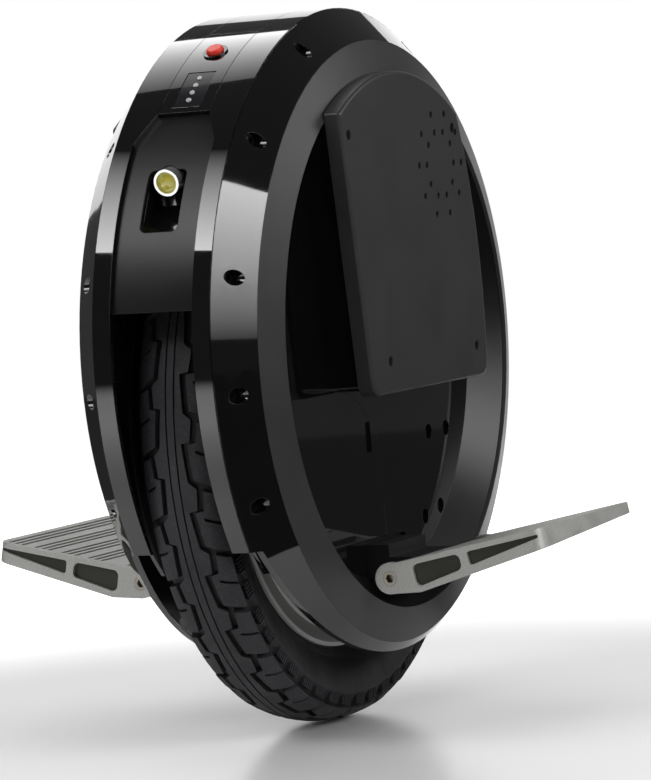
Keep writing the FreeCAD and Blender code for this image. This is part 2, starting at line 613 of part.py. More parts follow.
def make_side_cover():
    """The glossy side cover: wide band, ledge for the bezel, dish wall, floor and the side plate's box."""
    line, bezel_low = section_line()
    inner = beside(line, COVER_WALL)
    start_x = CROWN_X + SEAM
    outer_start = (start_x, LIP_RADIUS - (LIP_RADIUS - BAND_RADIUS) * SEAM / (BAND_X - CROWN_X))
    inner_start = crossing((inner[0], inner[1]), ((start_x, 0), (start_x, LIP_RADIUS)))
    outline = [outer_start, (BAND_X, BAND_RADIUS), bezel_low[0]] + line[2:]
    outline += [(FLOOR_INNER_X, 0.0)] + inner[3:0:-1] + [inner_start]
    cover = turned(outline, SHELL_Z)
    # Screw wells along the axle's direction
    for angle in cover_screw_places():
        foot = spine_point(angle, SCREW_CIRCLE, SCREW_FOOT_X)
        length = band_x_at(SCREW_CIRCLE) - foot.x
        cover = cover.fuse(rod(SCREW_WELL_RADIUS + SCREW_BOSS_WALL, foot, AXIS_X, length))
    above = [(CROWN_X, LIP_RADIUS), (BAND_X, BAND_RADIUS), (FAR, BAND_RADIUS), (FAR, LIP_RADIUS)]
    cover = cover.cut(turned(above, SHELL_Z))
    for angle in cover_screw_places():
        seat = spine_point(angle, SCREW_CIRCLE, SCREW_SEAT_X)
        cover = cover.cut(rod(SCREW_WELL_RADIUS, seat, AXIS_X, FAR))
        cover = cover.cut(rod(SCREW_SHANK_RADIUS + PRESS, seat - AXIS_X * FAR, AXIS_X, 2 * FAR))
    # Box behind the side plate
    rim_end = PLATE_BACK_X - SEAT
    box_reach = bezel_low[1][1] - SEAM
    within = rod(box_reach, V(0, 0, SHELL_Z), AXIS_X, FAR)
    rim = plate_block(FLOOR_INNER_X, rim_end, BOX_INSET).common(within)
    room = plate_block(0.0, FAR, BOX_INSET + BOX_WALL)
    room = room.common(rod(box_reach - BOX_WALL, V(0, 0, SHELL_Z), AXIS_X, FAR))
    cover = cover.fuse(rim).cut(room)
    for place in PLATE_SCREWS:
        foot = side_point(FLOOR_INNER_X, place)
        boss = rod(PLATE_SCREW_BOSS_RADIUS, foot, AXIS_X, rim_end - FLOOR_INNER_X)
        towards = PLATE_TOP_MIDDLE[1] if place[1] > 0 else PLATE_BOTTOM_REAR[1]
        low_z, high_z = sorted((place[1], towards))
        web = box((FLOOR_INNER_X, place[0] - BOX_WALL, SHELL_Z + low_z),
                  (rim_end, place[0] + BOX_WALL, SHELL_Z + high_z))
        web = web.common(rim)
        cover = cover.fuse(boss.fuse(web))
    for place in PLATE_SCREWS:
        start = side_point(FLOOR_INNER_X, place)
        cover = cover.cut(rod(PLATE_SCREW_SHANK_RADIUS + PRESS, start, AXIS_X, FAR))
    # Recess and opening for the access cover
    cover = cover.cut(access_block(FLOOR_X - ACCESS_THICKNESS - SEAT, FLOOR_X + 1, 0.0))
    cover = cover.cut(access_block(0.0, FLOOR_X + 1, ACCESS_LEDGE))
    # Slot that the pedal bracket comes through
    half = HANGER_BLOCK_HALF_WIDTH + HANGER_SLOT_MARGIN
    top = HINGE_Z + HANGER_BLOCK_TOP + HANGER_SLOT_MARGIN
    bottom = HINGE_Z - HANGER_ARM_HALF_HEIGHT - HANGER_SLOT_MARGIN
    cover = cover.cut(box((0, -half, bottom), (FAR, half, top)))
    # Wells for the bolts in the floor
    for place in FLOOR_BOLTS:
        foot = side_point(FLOOR_FOOT_X, place)
        length = FLOOR_INNER_X - FLOOR_FOOT_X
        cover = cover.fuse(rod(FLOOR_WELL_RADIUS + SCREW_BOSS_WALL, foot, AXIS_X, length))
    for place in FLOOR_BOLTS:
        cover = cover.cut(rod(FLOOR_WELL_RADIUS, side_point(FLOOR_SEAT_X, place), AXIS_X, FAR))
        cover = cover.cut(rod(FLOOR_BOLT_SHANK_RADIUS + PRESS, side_point(0, place), AXIS_X, FAR))
    # Trimmed edge under the lips
    trim = band(0, BAND_X, LOW_ARC_RADIUS, FAR, LOW_ARC_Z)
    below = box((0, -FAR, SHELL_Z - FAR), (BAND_X, FAR, SHELL_Z - LIP_END_DROP))
    cover = cover.cut(trim.common(below))
    pieces["left_side_cover"] = cover.removeSplitter()
    pieces["right_side_cover"] = mirrored_x(pieces["left_side_cover"])
    # Satin ring over the ledge
    seat = beside([(BAND_X, BAND_RADIUS), (CREST_X, CREST_RADIUS)], BEZEL_WALL - SEAT)
    ring = turned([(BAND_X, BAND_RADIUS), (CREST_X, CREST_RADIUS), seat[1], seat[0]], SHELL_Z)
    pieces["left_bezel_ring"] = ring
    pieces["right_bezel_ring"] = mirrored_x(ring)


def cover_screw(angle):
    """One socket screw in its well."""
    seat = spine_point(angle, SCREW_CIRCLE, SCREW_SEAT_X)
    head = rod(SCREW_HEAD_RADIUS, seat, AXIS_X, SCREW_HEAD)
    shank_start = V(FRAME_INNER_X, seat.y, seat.z)
    shank = rod(SCREW_SHANK_RADIUS, shank_start, AXIS_X, SCREW_SEAT_X - FRAME_INNER_X)
    socket_start = seat + AXIS_X * (SCREW_HEAD - SCREW_SOCKET_DEPTH)
    socket = hexagon(SCREW_SOCKET_RADIUS, socket_start, AXIS_X, SCREW_SOCKET_DEPTH)
    return head.fuse(shank).cut(socket).removeSplitter()


def make_side_fasteners():
    """Cover screws, plate screws and floor bolts, each kind as one group for both sides."""
    covers = [cover_screw(angle) for angle in cover_screw_places()]
    plates = []
    for place in PLATE_SCREWS:
        seat = side_point(PLATE_BACK_X + PLATE_SCREW_GRIP, place)
        head = rod(PLATE_SCREW_RADIUS, seat, AXIS_X, SCREW_HEAD)
        shank_length = PLATE_SCREW_GRIP + PLATE_THICKNESS
        shank = rod(PLATE_SCREW_SHANK_RADIUS, seat - AXIS_X * shank_length, AXIS_X, shank_length)
        socket = hexagon(SCREW_SOCKET_RADIUS, seat + AXIS_X * (SCREW_HEAD - SCREW_SOCKET_DEPTH),
                         AXIS_X, SCREW_SOCKET_DEPTH)
        plates.append(head.fuse(shank).cut(socket).removeSplitter())
    bolts = []
    for place in FLOOR_BOLTS:
        seat = side_point(FLOOR_SEAT_X, place)
        head = rod(FLOOR_BOLT_RADIUS, seat, AXIS_X, FLOOR_BOLT_HEAD)
        start = side_point(FRAME_INNER_X, place)
        shank = rod(FLOOR_BOLT_SHANK_RADIUS, start, AXIS_X, FLOOR_SEAT_X - FRAME_INNER_X)
        socket = hexagon(SCREW_SOCKET_RADIUS, seat + AXIS_X * (FLOOR_BOLT_HEAD - SCREW_SOCKET_DEPTH),
                         AXIS_X, SCREW_SOCKET_DEPTH)
        bolts.append(head.fuse(shank).cut(socket).removeSplitter())
    for name, group in (("cover_screws", covers), ("plate_screws", plates), ("floor_bolts", bolts)):
        pieces[name] = Part.makeCompound(group + [mirrored_x(one) for one in group])


def make_side_plates():
    """The satin plates against the rider's legs; the left one has the speaker's holes."""
    slab = plate_block(PLATE_BACK_X, PLATE_FACE_X)
    outer = [edge for edge in slab.Edges if abs(edge.BoundBox.XMin - PLATE_FACE_X) < 1e-6]
    slab = slab.makeFillet(PLATE_EDGE, outer)
    for place in PLATE_SCREWS:
        seat = side_point(PLATE_BACK_X + PLATE_SCREW_GRIP, place)
        slab = slab.cut(rod(PLATE_SCREW_RADIUS + SEAT, seat, AXIS_X, FAR))
        slab = slab.cut(rod(PLATE_SCREW_SHANK_RADIUS + PRESS, side_point(0, place), AXIS_X, FAR))
    pieces["right_side_plate"] = mirrored_x(slab)
    holes = []
    for count, circle in zip(SPEAKER_RING_COUNTS, SPEAKER_RING_RADII):
        for index in range(count):
            angle = 2 * math.pi * index / count
            y = SPEAKER_CENTRE[0] + circle * math.cos(angle)
            z = SPEAKER_CENTRE[1] + circle * math.sin(angle)
            holes.append(rod(SPEAKER_HOLE_RADIUS, side_point(0, (y, z)), AXIS_X, FAR))
    pieces["left_side_plate"] = slab.cut(Part.makeCompound(holes))
    back = side_point(PLATE_BACK_X - SEAT, SPEAKER_CENTRE)
    flange = rod(SPEAKER_RADIUS, back - AXIS_X * SPEAKER_FLANGE, AXIS_X, SPEAKER_FLANGE)
    cone = Part.makeCone(SPEAKER_MAGNET_RADIUS, SPEAKER_RADIUS - SPEAKER_FLANGE,
                         SPEAKER_DEPTH / 2, back - AXIS_X * (SPEAKER_FLANGE + SPEAKER_DEPTH / 2), AXIS_X)
    magnet_back = back - AXIS_X * (SPEAKER_FLANGE + SPEAKER_DEPTH)
    magnet = rod(SPEAKER_MAGNET_RADIUS, magnet_back, AXIS_X, SPEAKER_DEPTH / 2)
    pieces["speaker"] = joined([flange, cone, magnet])


def make_access_covers():
    """A flush cover in each floor, with a finger tab at its rounded corner."""
    cover = access_block(FLOOR_X - ACCESS_THICKNESS, FLOOR_X, SEAM)
    centre = side_point(FLOOR_X, ACCESS_TAB_CENTRE)
    tab = box((FLOOR_X - ACCESS_THICKNESS, centre.y - ACCESS_TAB_WIDTH / 2, centre.z - ACCESS_TAB_HEIGHT / 2),
              (FLOOR_X + ACCESS_TAB_PROUD, centre.y + ACCESS_TAB_WIDTH / 2, centre.z + ACCESS_TAB_HEIGHT / 2))
    tab = tab.common(access_block(0.0, FAR, SEAM))
    pieces["left_access_cover"] = joined([cover, tab])
    pieces["right_access_cover"] = mirrored_x(pieces["left_access_cover"])


def lamp_axis():
    """The middle of the lamp's face and the direction it looks in."""
    pitch = math.radians(LAMP_PITCH_DEG)
    return spine_point(LAMP_DEG, SPINE_OUTER), V(0, -math.cos(pitch), -math.sin(pitch))


def make_spine():
    """Covers and panels between the lips: front, rear, the bridge under the top and two flush panels."""
    sweep = PANEL_START_DEG + COVER_TUCK_DEG - COVER_BOTTOM_DEG
    cover = band(-SPINE_REACH, SPINE_REACH, SPINE_INNER, SPINE_OUTER, SHELL_Z, COVER_BOTTOM_DEG, sweep)
    lamp_sweep = LAMP_WINDOW_HIGH_DEG - LAMP_WINDOW_LOW_DEG
    window = band(-LAMP_WINDOW_HALF_WIDTH, LAMP_WINDOW_HALF_WIDTH, SPINE_INNER - 1, SPINE_OUTER + 1, SHELL_Z,
                  LAMP_WINDOW_LOW_DEG, lamp_sweep)
    corners = [edge for edge in window.Edges if isinstance(edge.Curve, Part.Line)]
    corners = [edge for edge in corners if not is_along(edge, AXIS_X)]
    window = window.makeFillet(LAMP_WINDOW_CORNER, corners)
    lamp_face, forward = lamp_axis()
    lamp_hole = rod(LAMP_RING_RADIUS + SEAM, lamp_face - forward * LAMP_TUBE, forward, FAR)
    pieces["front_cover"] = cover.cut(window).cut(lamp_hole)
    tail = band(-TAIL_HALF_WIDTH, TAIL_HALF_WIDTH, SPINE_INNER - 1, SPINE_OUTER + 1, SHELL_Z,
                TAIL_LOW_DEG, TAIL_HIGH_DEG - TAIL_LOW_DEG)
    socket_radius = SOCKET_BORE_RADIUS + SOCKET_WALL + PRESS
    socket_hole = rod(socket_radius, spine_point(SOCKET_DEG, 0), spine_normal(SOCKET_DEG), FAR)
    pieces["rear_cover"] = cover.cut(tail).cut(socket_hole).mirror(ORIGIN, AXIS_Y)
    half = TAIL_HALF_WIDTH - SEAT
    lens = band(-half, half, SPINE_INNER, SPINE_OUTER + TAIL_PROUD, SHELL_Z, TAIL_LOW_DEG + SEAM_DEG,
                TAIL_HIGH_DEG - TAIL_LOW_DEG - 2 * SEAM_DEG)
    pieces["tail_light"] = lens.mirror(ORIGIN, AXIS_Y)
    bridge = band(-SPINE_REACH, SPINE_REACH, SPINE_INNER, SPINE_OUTER, SHELL_Z,
                  BRIDGE_START_DEG, 180.0 - 2 * BRIDGE_START_DEG)
    opening = band(-PANEL_HALF_WIDTH, PANEL_HALF_WIDTH, SPINE_INNER - 1, SPINE_OUTER + 1, SHELL_Z,
                   HANDLE_START_DEG, HANDLE_END_DEG - HANDLE_START_DEG)
    collar_hole = rod(BUTTON_RADIUS + SEAM + COLLAR_WALL + PRESS, spine_point(BUTTON_DEG, LIP_RADIUS / 2),
                      spine_normal(BUTTON_DEG), FAR)
    pieces["top_bridge"] = bridge.cut(opening).cut(collar_hole)
    half = PANEL_HALF_WIDTH - SEAM
    panel = band(-half, half, LIP_INNER, LIP_RADIUS, SHELL_Z, PANEL_START_DEG,
                 HANDLE_START_DEG - SEAM_DEG - PANEL_START_DEG)
    recess = band(-WINDOW_HALF_WIDTH, WINDOW_HALF_WIDTH, LIP_RADIUS - WINDOW_DEPTH, LIP_RADIUS + 1, SHELL_Z,
                  WINDOW_LOW_DEG, WINDOW_HIGH_DEG - WINDOW_LOW_DEG)
    pieces["control_panel"] = panel.cut(recess).cut(collar_hole)
    pieces["rear_panel"] = band(-half, half, LIP_INNER, LIP_RADIUS, SHELL_Z, HANDLE_END_DEG + SEAM_DEG,
                                180.0 - PANEL_START_DEG - HANDLE_END_DEG - SEAM_DEG)


def make_indicators():
    """The dark window with four small lamps."""
    half = WINDOW_HALF_WIDTH - SEAT
    window = band(-half, half, LIP_RADIUS - WINDOW_DEPTH + SEAT / 2, LIP_RADIUS - WINDOW_DEPTH / 3, SHELL_Z,
                  WINDOW_LOW_DEG + SEAM_DEG / 2, WINDOW_HIGH_DEG - WINDOW_LOW_DEG - SEAM_DEG)
    lamps = []
    for index in range(LED_COUNT):
        angle = LED_FIRST_DEG + LED_STEP_DEG * index
        seat = LIP_RADIUS - WINDOW_DEPTH + SEAT / 2
        lamp = rod(LED_RADIUS, spine_point(angle, seat), spine_normal(angle), WINDOW_DEPTH + LED_PROUD - SEAT)
        top_edge = [edge for edge in lamp.Edges if isinstance(edge.Curve, Part.Circle)]
        top_edge.sort(key=lambda edge: edge.CenterOfMass.distanceToPoint(V(0, 0, SHELL_Z)))
        lamps.append(lamp.makeFillet(LED_PROUD, [top_edge[-1]]))
        window = window.cut(rod(LED_RADIUS + PRESS, spine_point(angle, 0), spine_normal(angle), FAR))
    pieces["indicator_window"] = window
    pieces["indicator_lamps"] = Part.makeCompound(lamps)


def make_power_button():
    """The red button that slides in its collar, and the switch body under it."""
    out = spine_normal(BUTTON_DEG)
    inner = LIP_RADIUS - BUTTON_BODY
    body = rod(BUTTON_RADIUS, spine_point(BUTTON_DEG, inner), out, BUTTON_BODY + BUTTON_PROUD)
    rims = [edge for edge in body.Edges if isinstance(edge.Curve, Part.Circle)]
    rims.sort(key=lambda edge: edge.CenterOfMass.distanceToPoint(V(0, 0, SHELL_Z)))
    pieces["power_button"] = body.makeFillet(BUTTON_PROUD / 3, [rims[-1]])
    bore = BUTTON_RADIUS + SEAM
    floor = inner - BUTTON_TRAVEL - SEAM
    collar = rod(bore + COLLAR_WALL, spine_point(BUTTON_DEG, floor), out, LIP_RADIUS + COLLAR_FLANGE - floor)
    under = spine_point(BUTTON_DEG, LIP_RADIUS + SEAT / 2)
    flange = rod(COLLAR_FLANGE_RADIUS, under, out, COLLAR_FLANGE - SEAT / 2)
    collar = joined([collar, flange]).cut(rod(bore, spine_point(BUTTON_DEG, floor), out, FAR))
    pieces["button_collar"] = collar
    switch_end = spine_point(BUTTON_DEG, floor - SWITCH_DEPTH)
    pieces["power_switch"] = rod(bore + COLLAR_WALL, switch_end, out, SWITCH_DEPTH)


def make_headlight():
    """A pocket behind the front cover, a bright ring, the lens in it and the lamp's base."""
    middle_deg = (LAMP_WINDOW_LOW_DEG + LAMP_WINDOW_HIGH_DEG) / 2
    half_length = math.radians(LAMP_WINDOW_HIGH_DEG - LAMP_WINDOW_LOW_DEG) / 2 * SPINE_INNER
    wall = LAMP_POCKET_WALL
    mouth = math.sqrt((SPINE_INNER - SEAT) ** 2 - (half_length + wall) ** 2)
    outer = box((-LAMP_WINDOW_HALF_WIDTH - wall, -mouth, -half_length - wall),
                (LAMP_WINDOW_HALF_WIDTH + wall, -mouth + LAMP_POCKET_DEPTH + wall, half_length + wall))
    profile = [(-mouth - 1, -half_length), (-mouth + LAMP_POCKET_SHALLOW, -half_length),
               (-mouth + LAMP_POCKET_DEPTH, half_length / 4), (-mouth + LAMP_POCKET_DEPTH, half_length),
               (-mouth - 1, half_length)]
    points = [V(-LAMP_WINDOW_HALF_WIDTH, y, z) for y, z in profile]
    hollow = Part.Face(Part.makePolygon(points + points[:1])).extrude(AXIS_X * 2 * LAMP_WINDOW_HALF_WIDTH)
    pocket = outer.cut(hollow)
    pocket.translate(V(0, 0, SHELL_Z))
    pocket.rotate(V(0, 0, SHELL_Z), AXIS_X, -middle_deg)
    face, forward = lamp_axis()
    back = face - forward * LAMP_TUBE
    ring = tube(LAMP_RING_RADIUS, LAMP_RING_RADIUS - LAMP_RING_WALL, back, forward, LAMP_TUBE)
    pieces["headlight_ring"] = ring
    lens = rod(LAMP_RING_RADIUS - LAMP_RING_WALL - PRESS, back + forward * LAMP_LENS_INSET, forward,
               LAMP_TUBE - 2 * LAMP_LENS_INSET)
    crown = LAMP_LENS_INSET / 2
    dome = Part.makeSphere(2 * LAMP_LENS_RADIUS, face - forward * (2 * LAMP_LENS_RADIUS + crown))
    dome = dome.common(rod(LAMP_LENS_RADIUS, face - forward * LAMP_LENS_INSET, forward, LAMP_LENS_RADIUS))
    pieces["headlight_lens"] = joined([lens, dome])
    heel = back - forward * LAMP_HEEL
    pieces["headlight_housing"] = pocket.cut(rod(LAMP_RING_RADIUS + SEAT, heel, forward, FAR))
    pieces["headlight_base"] = rod(LAMP_RING_RADIUS - LAMP_RING_WALL, heel, forward, LAMP_HEEL - SEAT)


def make_charge_socket():
    """The round charging socket in the rear cover, with contact holes in its floor."""
    out = V(0, math.cos(math.radians(SOCKET_DEG)), math.sin(math.radians(SOCKET_DEG)))
    centre = V(0, 0, SHELL_Z)
    mouth = LIP_INNER + SOCKET_FLANGE
    outer = SOCKET_BORE_RADIUS + SOCKET_WALL
    body = rod(outer, centre + out * (mouth - SOCKET_DEPTH - SOCKET_FLOOR), out, SOCKET_DEPTH + SOCKET_FLOOR)
    flange = rod(SOCKET_FLANGE_RADIUS, centre + out * (LIP_INNER + SEAT), out, SOCKET_FLANGE - SEAT)
    bore = rod(SOCKET_BORE_RADIUS, centre + out * (mouth - SOCKET_DEPTH), out, FAR)
    socket = joined([body, flange]).cut(bore)
    for index in range(SOCKET_CONTACT_COUNT):
        angle = 2 * math.pi * index / SOCKET_CONTACT_COUNT
        across = AXIS_X * math.cos(angle) + out.cross(AXIS_X) * math.sin(angle)
        start = centre + out * (mouth - SOCKET_DEPTH - SOCKET_CONTACT_DEPTH) + across * SOCKET_CONTACT_CIRCLE
        socket = socket.cut(rod(SOCKET_CONTACT_RADIUS, start, out, SOCKET_DEPTH))
    pieces["charge_socket"] = socket.removeSplitter()


def make_handle():
    """A flush grip on two legs that lifts out of a tray in the top."""
    half = PANEL_HALF_WIDTH - SEAM
    sector = band(-half, half, LIP_RADIUS / 2, LIP_RADIUS, SHELL_Z, HANDLE_START_DEG + SEAM_DEG,
                  HANDLE_END_DEG - HANDLE_START_DEG - 2 * SEAM_DEG)
    underside = SHELL_Z + GRIP_UNDERSIDE
    grip = sector.common(box((-FAR, -FAR, underside), (FAR, FAR, underside + FAR)))
    tray_bottom = TRAY_FLOOR_TOP - SLEEVE_HEIGHT
    foot_top = AXLE_Z + ARCH_OUTER + FOOT_GAP + FOOT_HEIGHT - SHELL_Z
    tray_half = PANEL_HALF_WIDTH + TRAY_WALL
    front_y = spine_point(HANDLE_START_DEG, SPINE_OUTER).y
    rear_y = spine_point(HANDLE_END_DEG, SPINE_OUTER).y
    tray = box((-tray_half, front_y - TRAY_WALL, SHELL_Z + TRAY_FLOOR_TOP - TRAY_WALL),
               (tray_half, rear_y + TRAY_WALL, SHELL_Z + LIP_RADIUS))
    tray = tray.cut(box((-PANEL_HALF_WIDTH, front_y, SHELL_Z + TRAY_FLOOR_TOP),
                        (PANEL_HALF_WIDTH, rear_y, SHELL_Z + FAR)))
    legs = [grip]
    sleeves = [tray]
    slots = []
    reach = LEG_THICKNESS / 2
    for y in (front_y + LEG_FRONT_INSET, rear_y - LEG_REAR_INSET):
        legs.append(box((-LEG_HALF_WIDTH, y - reach, SHELL_Z + foot_top - FOOT_HEIGHT),
                        (LEG_HALF_WIDTH, y + reach, underside + 1)))
        wide = reach + FOOT_OVERHANG
        legs.append(box((-LEG_HALF_WIDTH - FOOT_OVERHANG, y - wide, SHELL_Z + foot_top - FOOT_HEIGHT),
                        (LEG_HALF_WIDTH + FOOT_OVERHANG, y + wide, SHELL_Z + foot_top)))
        sleeve = reach + SEAM + TRAY_WALL
        sleeves.append(box((-LEG_HALF_WIDTH - SEAM - TRAY_WALL, y - sleeve, SHELL_Z + tray_bottom),
                           (LEG_HALF_WIDTH + SEAM + TRAY_WALL, y + sleeve, SHELL_Z + TRAY_FLOOR_TOP)))
        slots.append(box((-LEG_HALF_WIDTH - SEAM, y - reach - SEAM, SHELL_Z),
                         (LEG_HALF_WIDTH + SEAM, y + reach + SEAM, SHELL_Z + FAR)))
    pieces["carry_handle"] = joined(legs)
    print("handle travel", round(tray_bottom - foot_top - SEAM, 3))
    tray = joined(sleeves)
    for slot in slots:
        tray = tray.cut(slot)
    under = rod(SPINE_INNER - SEAT, V(-FAR, 0, SHELL_Z), AXIS_X, 2 * FAR)
    pieces["handle_tray"] = tray.common(under).removeSplitter()


def pedal_pocket(points, radii):
    """A pocket in the pedal's front wall, from (x, z) corners and the radius of each."""
    start_y = -PEDAL_LENGTH / 2 - 1
    corners = [V(x, start_y, z) for x, z in points]
    block = Part.Face(Part.makePolygon(corners + corners[:1])).extrude(AXIS_Y * (PEDAL_POCKET + 1))
    for corner, radius in zip(corners, radii):
        edges = [edge for edge in block.Edges if is_along(edge, AXIS_Y)]
        middle = corner + AXIS_Y * ((PEDAL_POCKET + 1) / 2)
        edges.sort(key=lambda edge: edge.CenterOfMass.distanceToPoint(middle))
        block = block.makeFillet(radius, edges[:1])
    return block


def placed_pedal(shape):
    """Tilt a shape made about the hinge axis and put it on the left side."""
    shape.rotate(ORIGIN, AXIS_Y, -PEDAL_TILT_DEG)
    shape.translate(V(HINGE_X, PEDAL_CENTRE_Y, HINGE_Z))
    return shape


def pedal_bottom(x):
    """Height of the pedal's lower edge outside its knee."""
    share = (x - PEDAL_KNEE[0]) / (PEDAL_REACH - PEDAL_KNEE[0])
    return PEDAL_KNEE[1] + share * (PEDAL_TIP_BOTTOM - PEDAL_KNEE[1])


def pedal_pockets():
    """The two pockets in the front wall: a tall one by the hinge and a long one that tapers to the tip."""
    top = DECK_TOP - PEDAL_FRAME
    first = PEDAL_POCKET_START
    last = PEDAL_REACH - PEDAL_POCKET_END
    low_first = pedal_bottom(first) + PEDAL_FRAME
    low_last = pedal_bottom(last) + PEDAL_TIP_FRAME

    def low(x):
        return low_first + (x - first) / (last - first) * (low_last - low_first)

    strut_in = PEDAL_STRUT_X - PEDAL_STRUT / 2
    strut_out = PEDAL_STRUT_X + PEDAL_STRUT / 2
    inner = [(first, top), (strut_in, top), (strut_in, low(strut_in)), (first, low_first)]
    outer = [(strut_out, top), (last, top), (last, low_last), (strut_out, low(strut_out))]
    wide = PEDAL_POCKET_CORNER
    narrow = 0.4 * (top - low_last)
    return [pedal_pocket(inner, [wide] * 4), pedal_pocket(outer, [wide / 2, narrow, narrow, wide / 2])]


def make_pedals():
    """Cast pedals: a grooved deck over a hollow, a deep front wall with two pockets, and the hinge's ears."""
    half = PEDAL_LENGTH / 2
    lower = [(PEDAL_REACH, PEDAL_TIP_BOTTOM), PEDAL_KNEE, (0, -PEDAL_BOSS_RADIUS)]
    points = [V(x, -half, z) for x, z in [(0, DECK_TOP), (PEDAL_REACH, DECK_TOP)] + lower]
    solid = Part.Face(Part.makePolygon(points + points[:1])).extrude(AXIS_Y * PEDAL_LENGTH)
    # The lower edge rises towards the rear
    points = [V(x, -half, z) for x, z in lower + [(0, -FAR), (PEDAL_REACH, -FAR)]]
    slope = V(0, PEDAL_LENGTH, PEDAL_REAR_RISE)
    solid = solid.cut(Part.Face(Part.makePolygon(points + points[:1])).extrude(slope))
    solid = solid.fuse(rod(PEDAL_BOSS_RADIUS, V(0, -half, 0), AXIS_Y, PEDAL_LENGTH)).removeSplitter()
    under = DECK_TOP - DECK_WALL
    room_end = half - PEDAL_SIDE
    wall_x = PEDAL_REACH - PEDAL_SIDE
    room = box((-FAR, -room_end, -FAR), (wall_x, room_end, under))
    hinge_room = box((-FAR, -room_end, -FAR), (DECK_INNER_X, room_end, FAR))
    solid = solid.cut(room).cut(hinge_room)
    tips = [edge for edge in solid.Edges if is_along(edge, AXIS_Z) and edge.CenterOfMass.x > wall_x]
    tips = [edge for edge in tips if abs(abs(edge.CenterOfMass.y) - half) < 1e-6]
    solid = solid.makeFillet(PEDAL_CORNER, tips)
    ribs = []
    start_x = HANGER_STOP_REACH + PEDAL_SIDE
    rib_end = PEDAL_TIP_BOTTOM + PEDAL_REAR_RISE
    rib = [(start_x, under + 1), (wall_x + 1, under + 1), (wall_x + 1, rib_end), (start_x, 0.0)]
    for index in range(PEDAL_RIB_COUNT):
        y = room_end * (2 * (index + 1) / (PEDAL_RIB_COUNT + 1) - 1)
        corners = [V(x, y - DECK_WALL / 2, z) for x, z in rib]
        ribs.append(Part.Face(Part.makePolygon(corners + corners[:1])).extrude(AXIS_Y * DECK_WALL))
    solid = solid.multiFuse(ribs).removeSplitter()
    for pocket in pedal_pockets():
        solid = solid.cut(pocket)
    grooves = []
    groove_end = half - GROOVE_END_MARGIN
    floor = DECK_TOP - GROOVE_DEPTH
    for group in range(GROOVE_GROUP_COUNT):
        for line in range(GROOVE_COUNT):
            x = GROOVE_FIRST_X + group * GROOVE_GROUP_STEP + line * GROOVE_STEP
            grooves.append(box((x, -groove_end, floor), (x + GROOVE_WIDTH, groove_end, DECK_TOP + 1)))
    solid = solid.cut(Part.makeCompound(grooves))
    solid = solid.cut(rod(PIN_RADIUS + RUNNING, V(0, -FAR, 0), AXIS_Y, 2 * FAR))
    pieces["left_pedal"] = placed_pedal(solid)
    pieces["right_pedal"] = mirrored_x(pieces["left_pedal"])


def make_hangers():
    """Pedal brackets: a plate on the axle, an arm through the side cover, a hinge barrel and a stop."""
    plate_x = FRAME_OUTER_X + SEAT
    plate_end = FLOOR_INNER_X - SEAT
    bottom = HINGE_Z - HANGER_ARM_HALF_HEIGHT
    plate = box((plate_x, -HANGER_HALF_WIDTH, bottom), (plate_end, HANGER_HALF_WIDTH, AXLE_Z))
    block_half = HANGER_BLOCK_HALF_WIDTH
    block_top = HINGE_Z + HANGER_BLOCK_TOP
    block = box((plate_x, -block_half, bottom), (HANGER_BLOCK_END_X, block_half, block_top))
    arm = box((plate_x, -block_half, bottom), (HINGE_X, block_half, HINGE_Z + HANGER_ARM_HALF_HEIGHT))
    barrel_half = PEDAL_LENGTH / 2 - PEDAL_SIDE - SEAM
    barrel = rod(BARREL_RADIUS, V(HINGE_X, PEDAL_CENTRE_Y - barrel_half, HINGE_Z), AXIS_Y, 2 * barrel_half)
    stop_top = DECK_TOP - DECK_WALL - SEAM
    stop = box((0, -block_half, stop_top - HANGER_STOP_WALL), (HANGER_STOP_REACH, block_half, stop_top))
    hanger = joined([plate, block, arm, barrel, placed_pedal(stop)])
    pin_hole = rod(PIN_RADIUS + PRESS, V(HINGE_X, -FAR, HINGE_Z), AXIS_Y, 2 * FAR)
    seat = rod(AXLE_RADIUS + PRESS, V(0, 0, AXLE_Z), AXIS_X, FAR)
    hanger = hanger.cut(pin_hole).cut(seat)
    clamp_half = HANGER_HALF_WIDTH - SEAM
    clamp = box((plate_x, -clamp_half, AXLE_Z + SEAT), (plate_end, clamp_half, AXLE_Z + CLAMP_HEIGHT))
    clamp = clamp.cut(seat)
    screws = []
    middle_x = (plate_x + plate_end) / 2
    for y in (-CLAMP_SCREW_Y, CLAMP_SCREW_Y):
        start = V(middle_x, y, AXLE_Z + CLAMP_HEIGHT - CLAMP_SCREW_LENGTH)
        hole = rod(CLAMP_SCREW_RADIUS + PRESS, start, AXIS_Z, FAR)
        hanger = hanger.cut(hole)
        clamp = clamp.cut(hole)
        screws.append(rod(CLAMP_SCREW_RADIUS, start, AXIS_Z, CLAMP_SCREW_LENGTH))
    pieces["left_pedal_bracket"] = hanger.removeSplitter()
    pieces["right_pedal_bracket"] = mirrored_x(pieces["left_pedal_bracket"])
    pieces["axle_clamps"] = Part.makeCompound([clamp, mirrored_x(clamp)])
    pieces["clamp_screws"] = Part.makeCompound(screws + [mirrored_x(one) for one in screws])
    half = PEDAL_LENGTH / 2
    front = V(HINGE_X, PEDAL_CENTRE_Y - half, HINGE_Z)
    pin = rod(PIN_RADIUS, front, AXIS_Y, PEDAL_LENGTH)
    for start, inward in ((front, AXIS_Y), (front + AXIS_Y * PEDAL_LENGTH, -AXIS_Y)):
        pin = pin.cut(hexagon(PIN_SOCKET_RADIUS, start, inward, PIN_SOCKET_DEPTH))
    pieces["hinge_pins"] = Part.makeCompound([pin, mirrored_x(pin)])


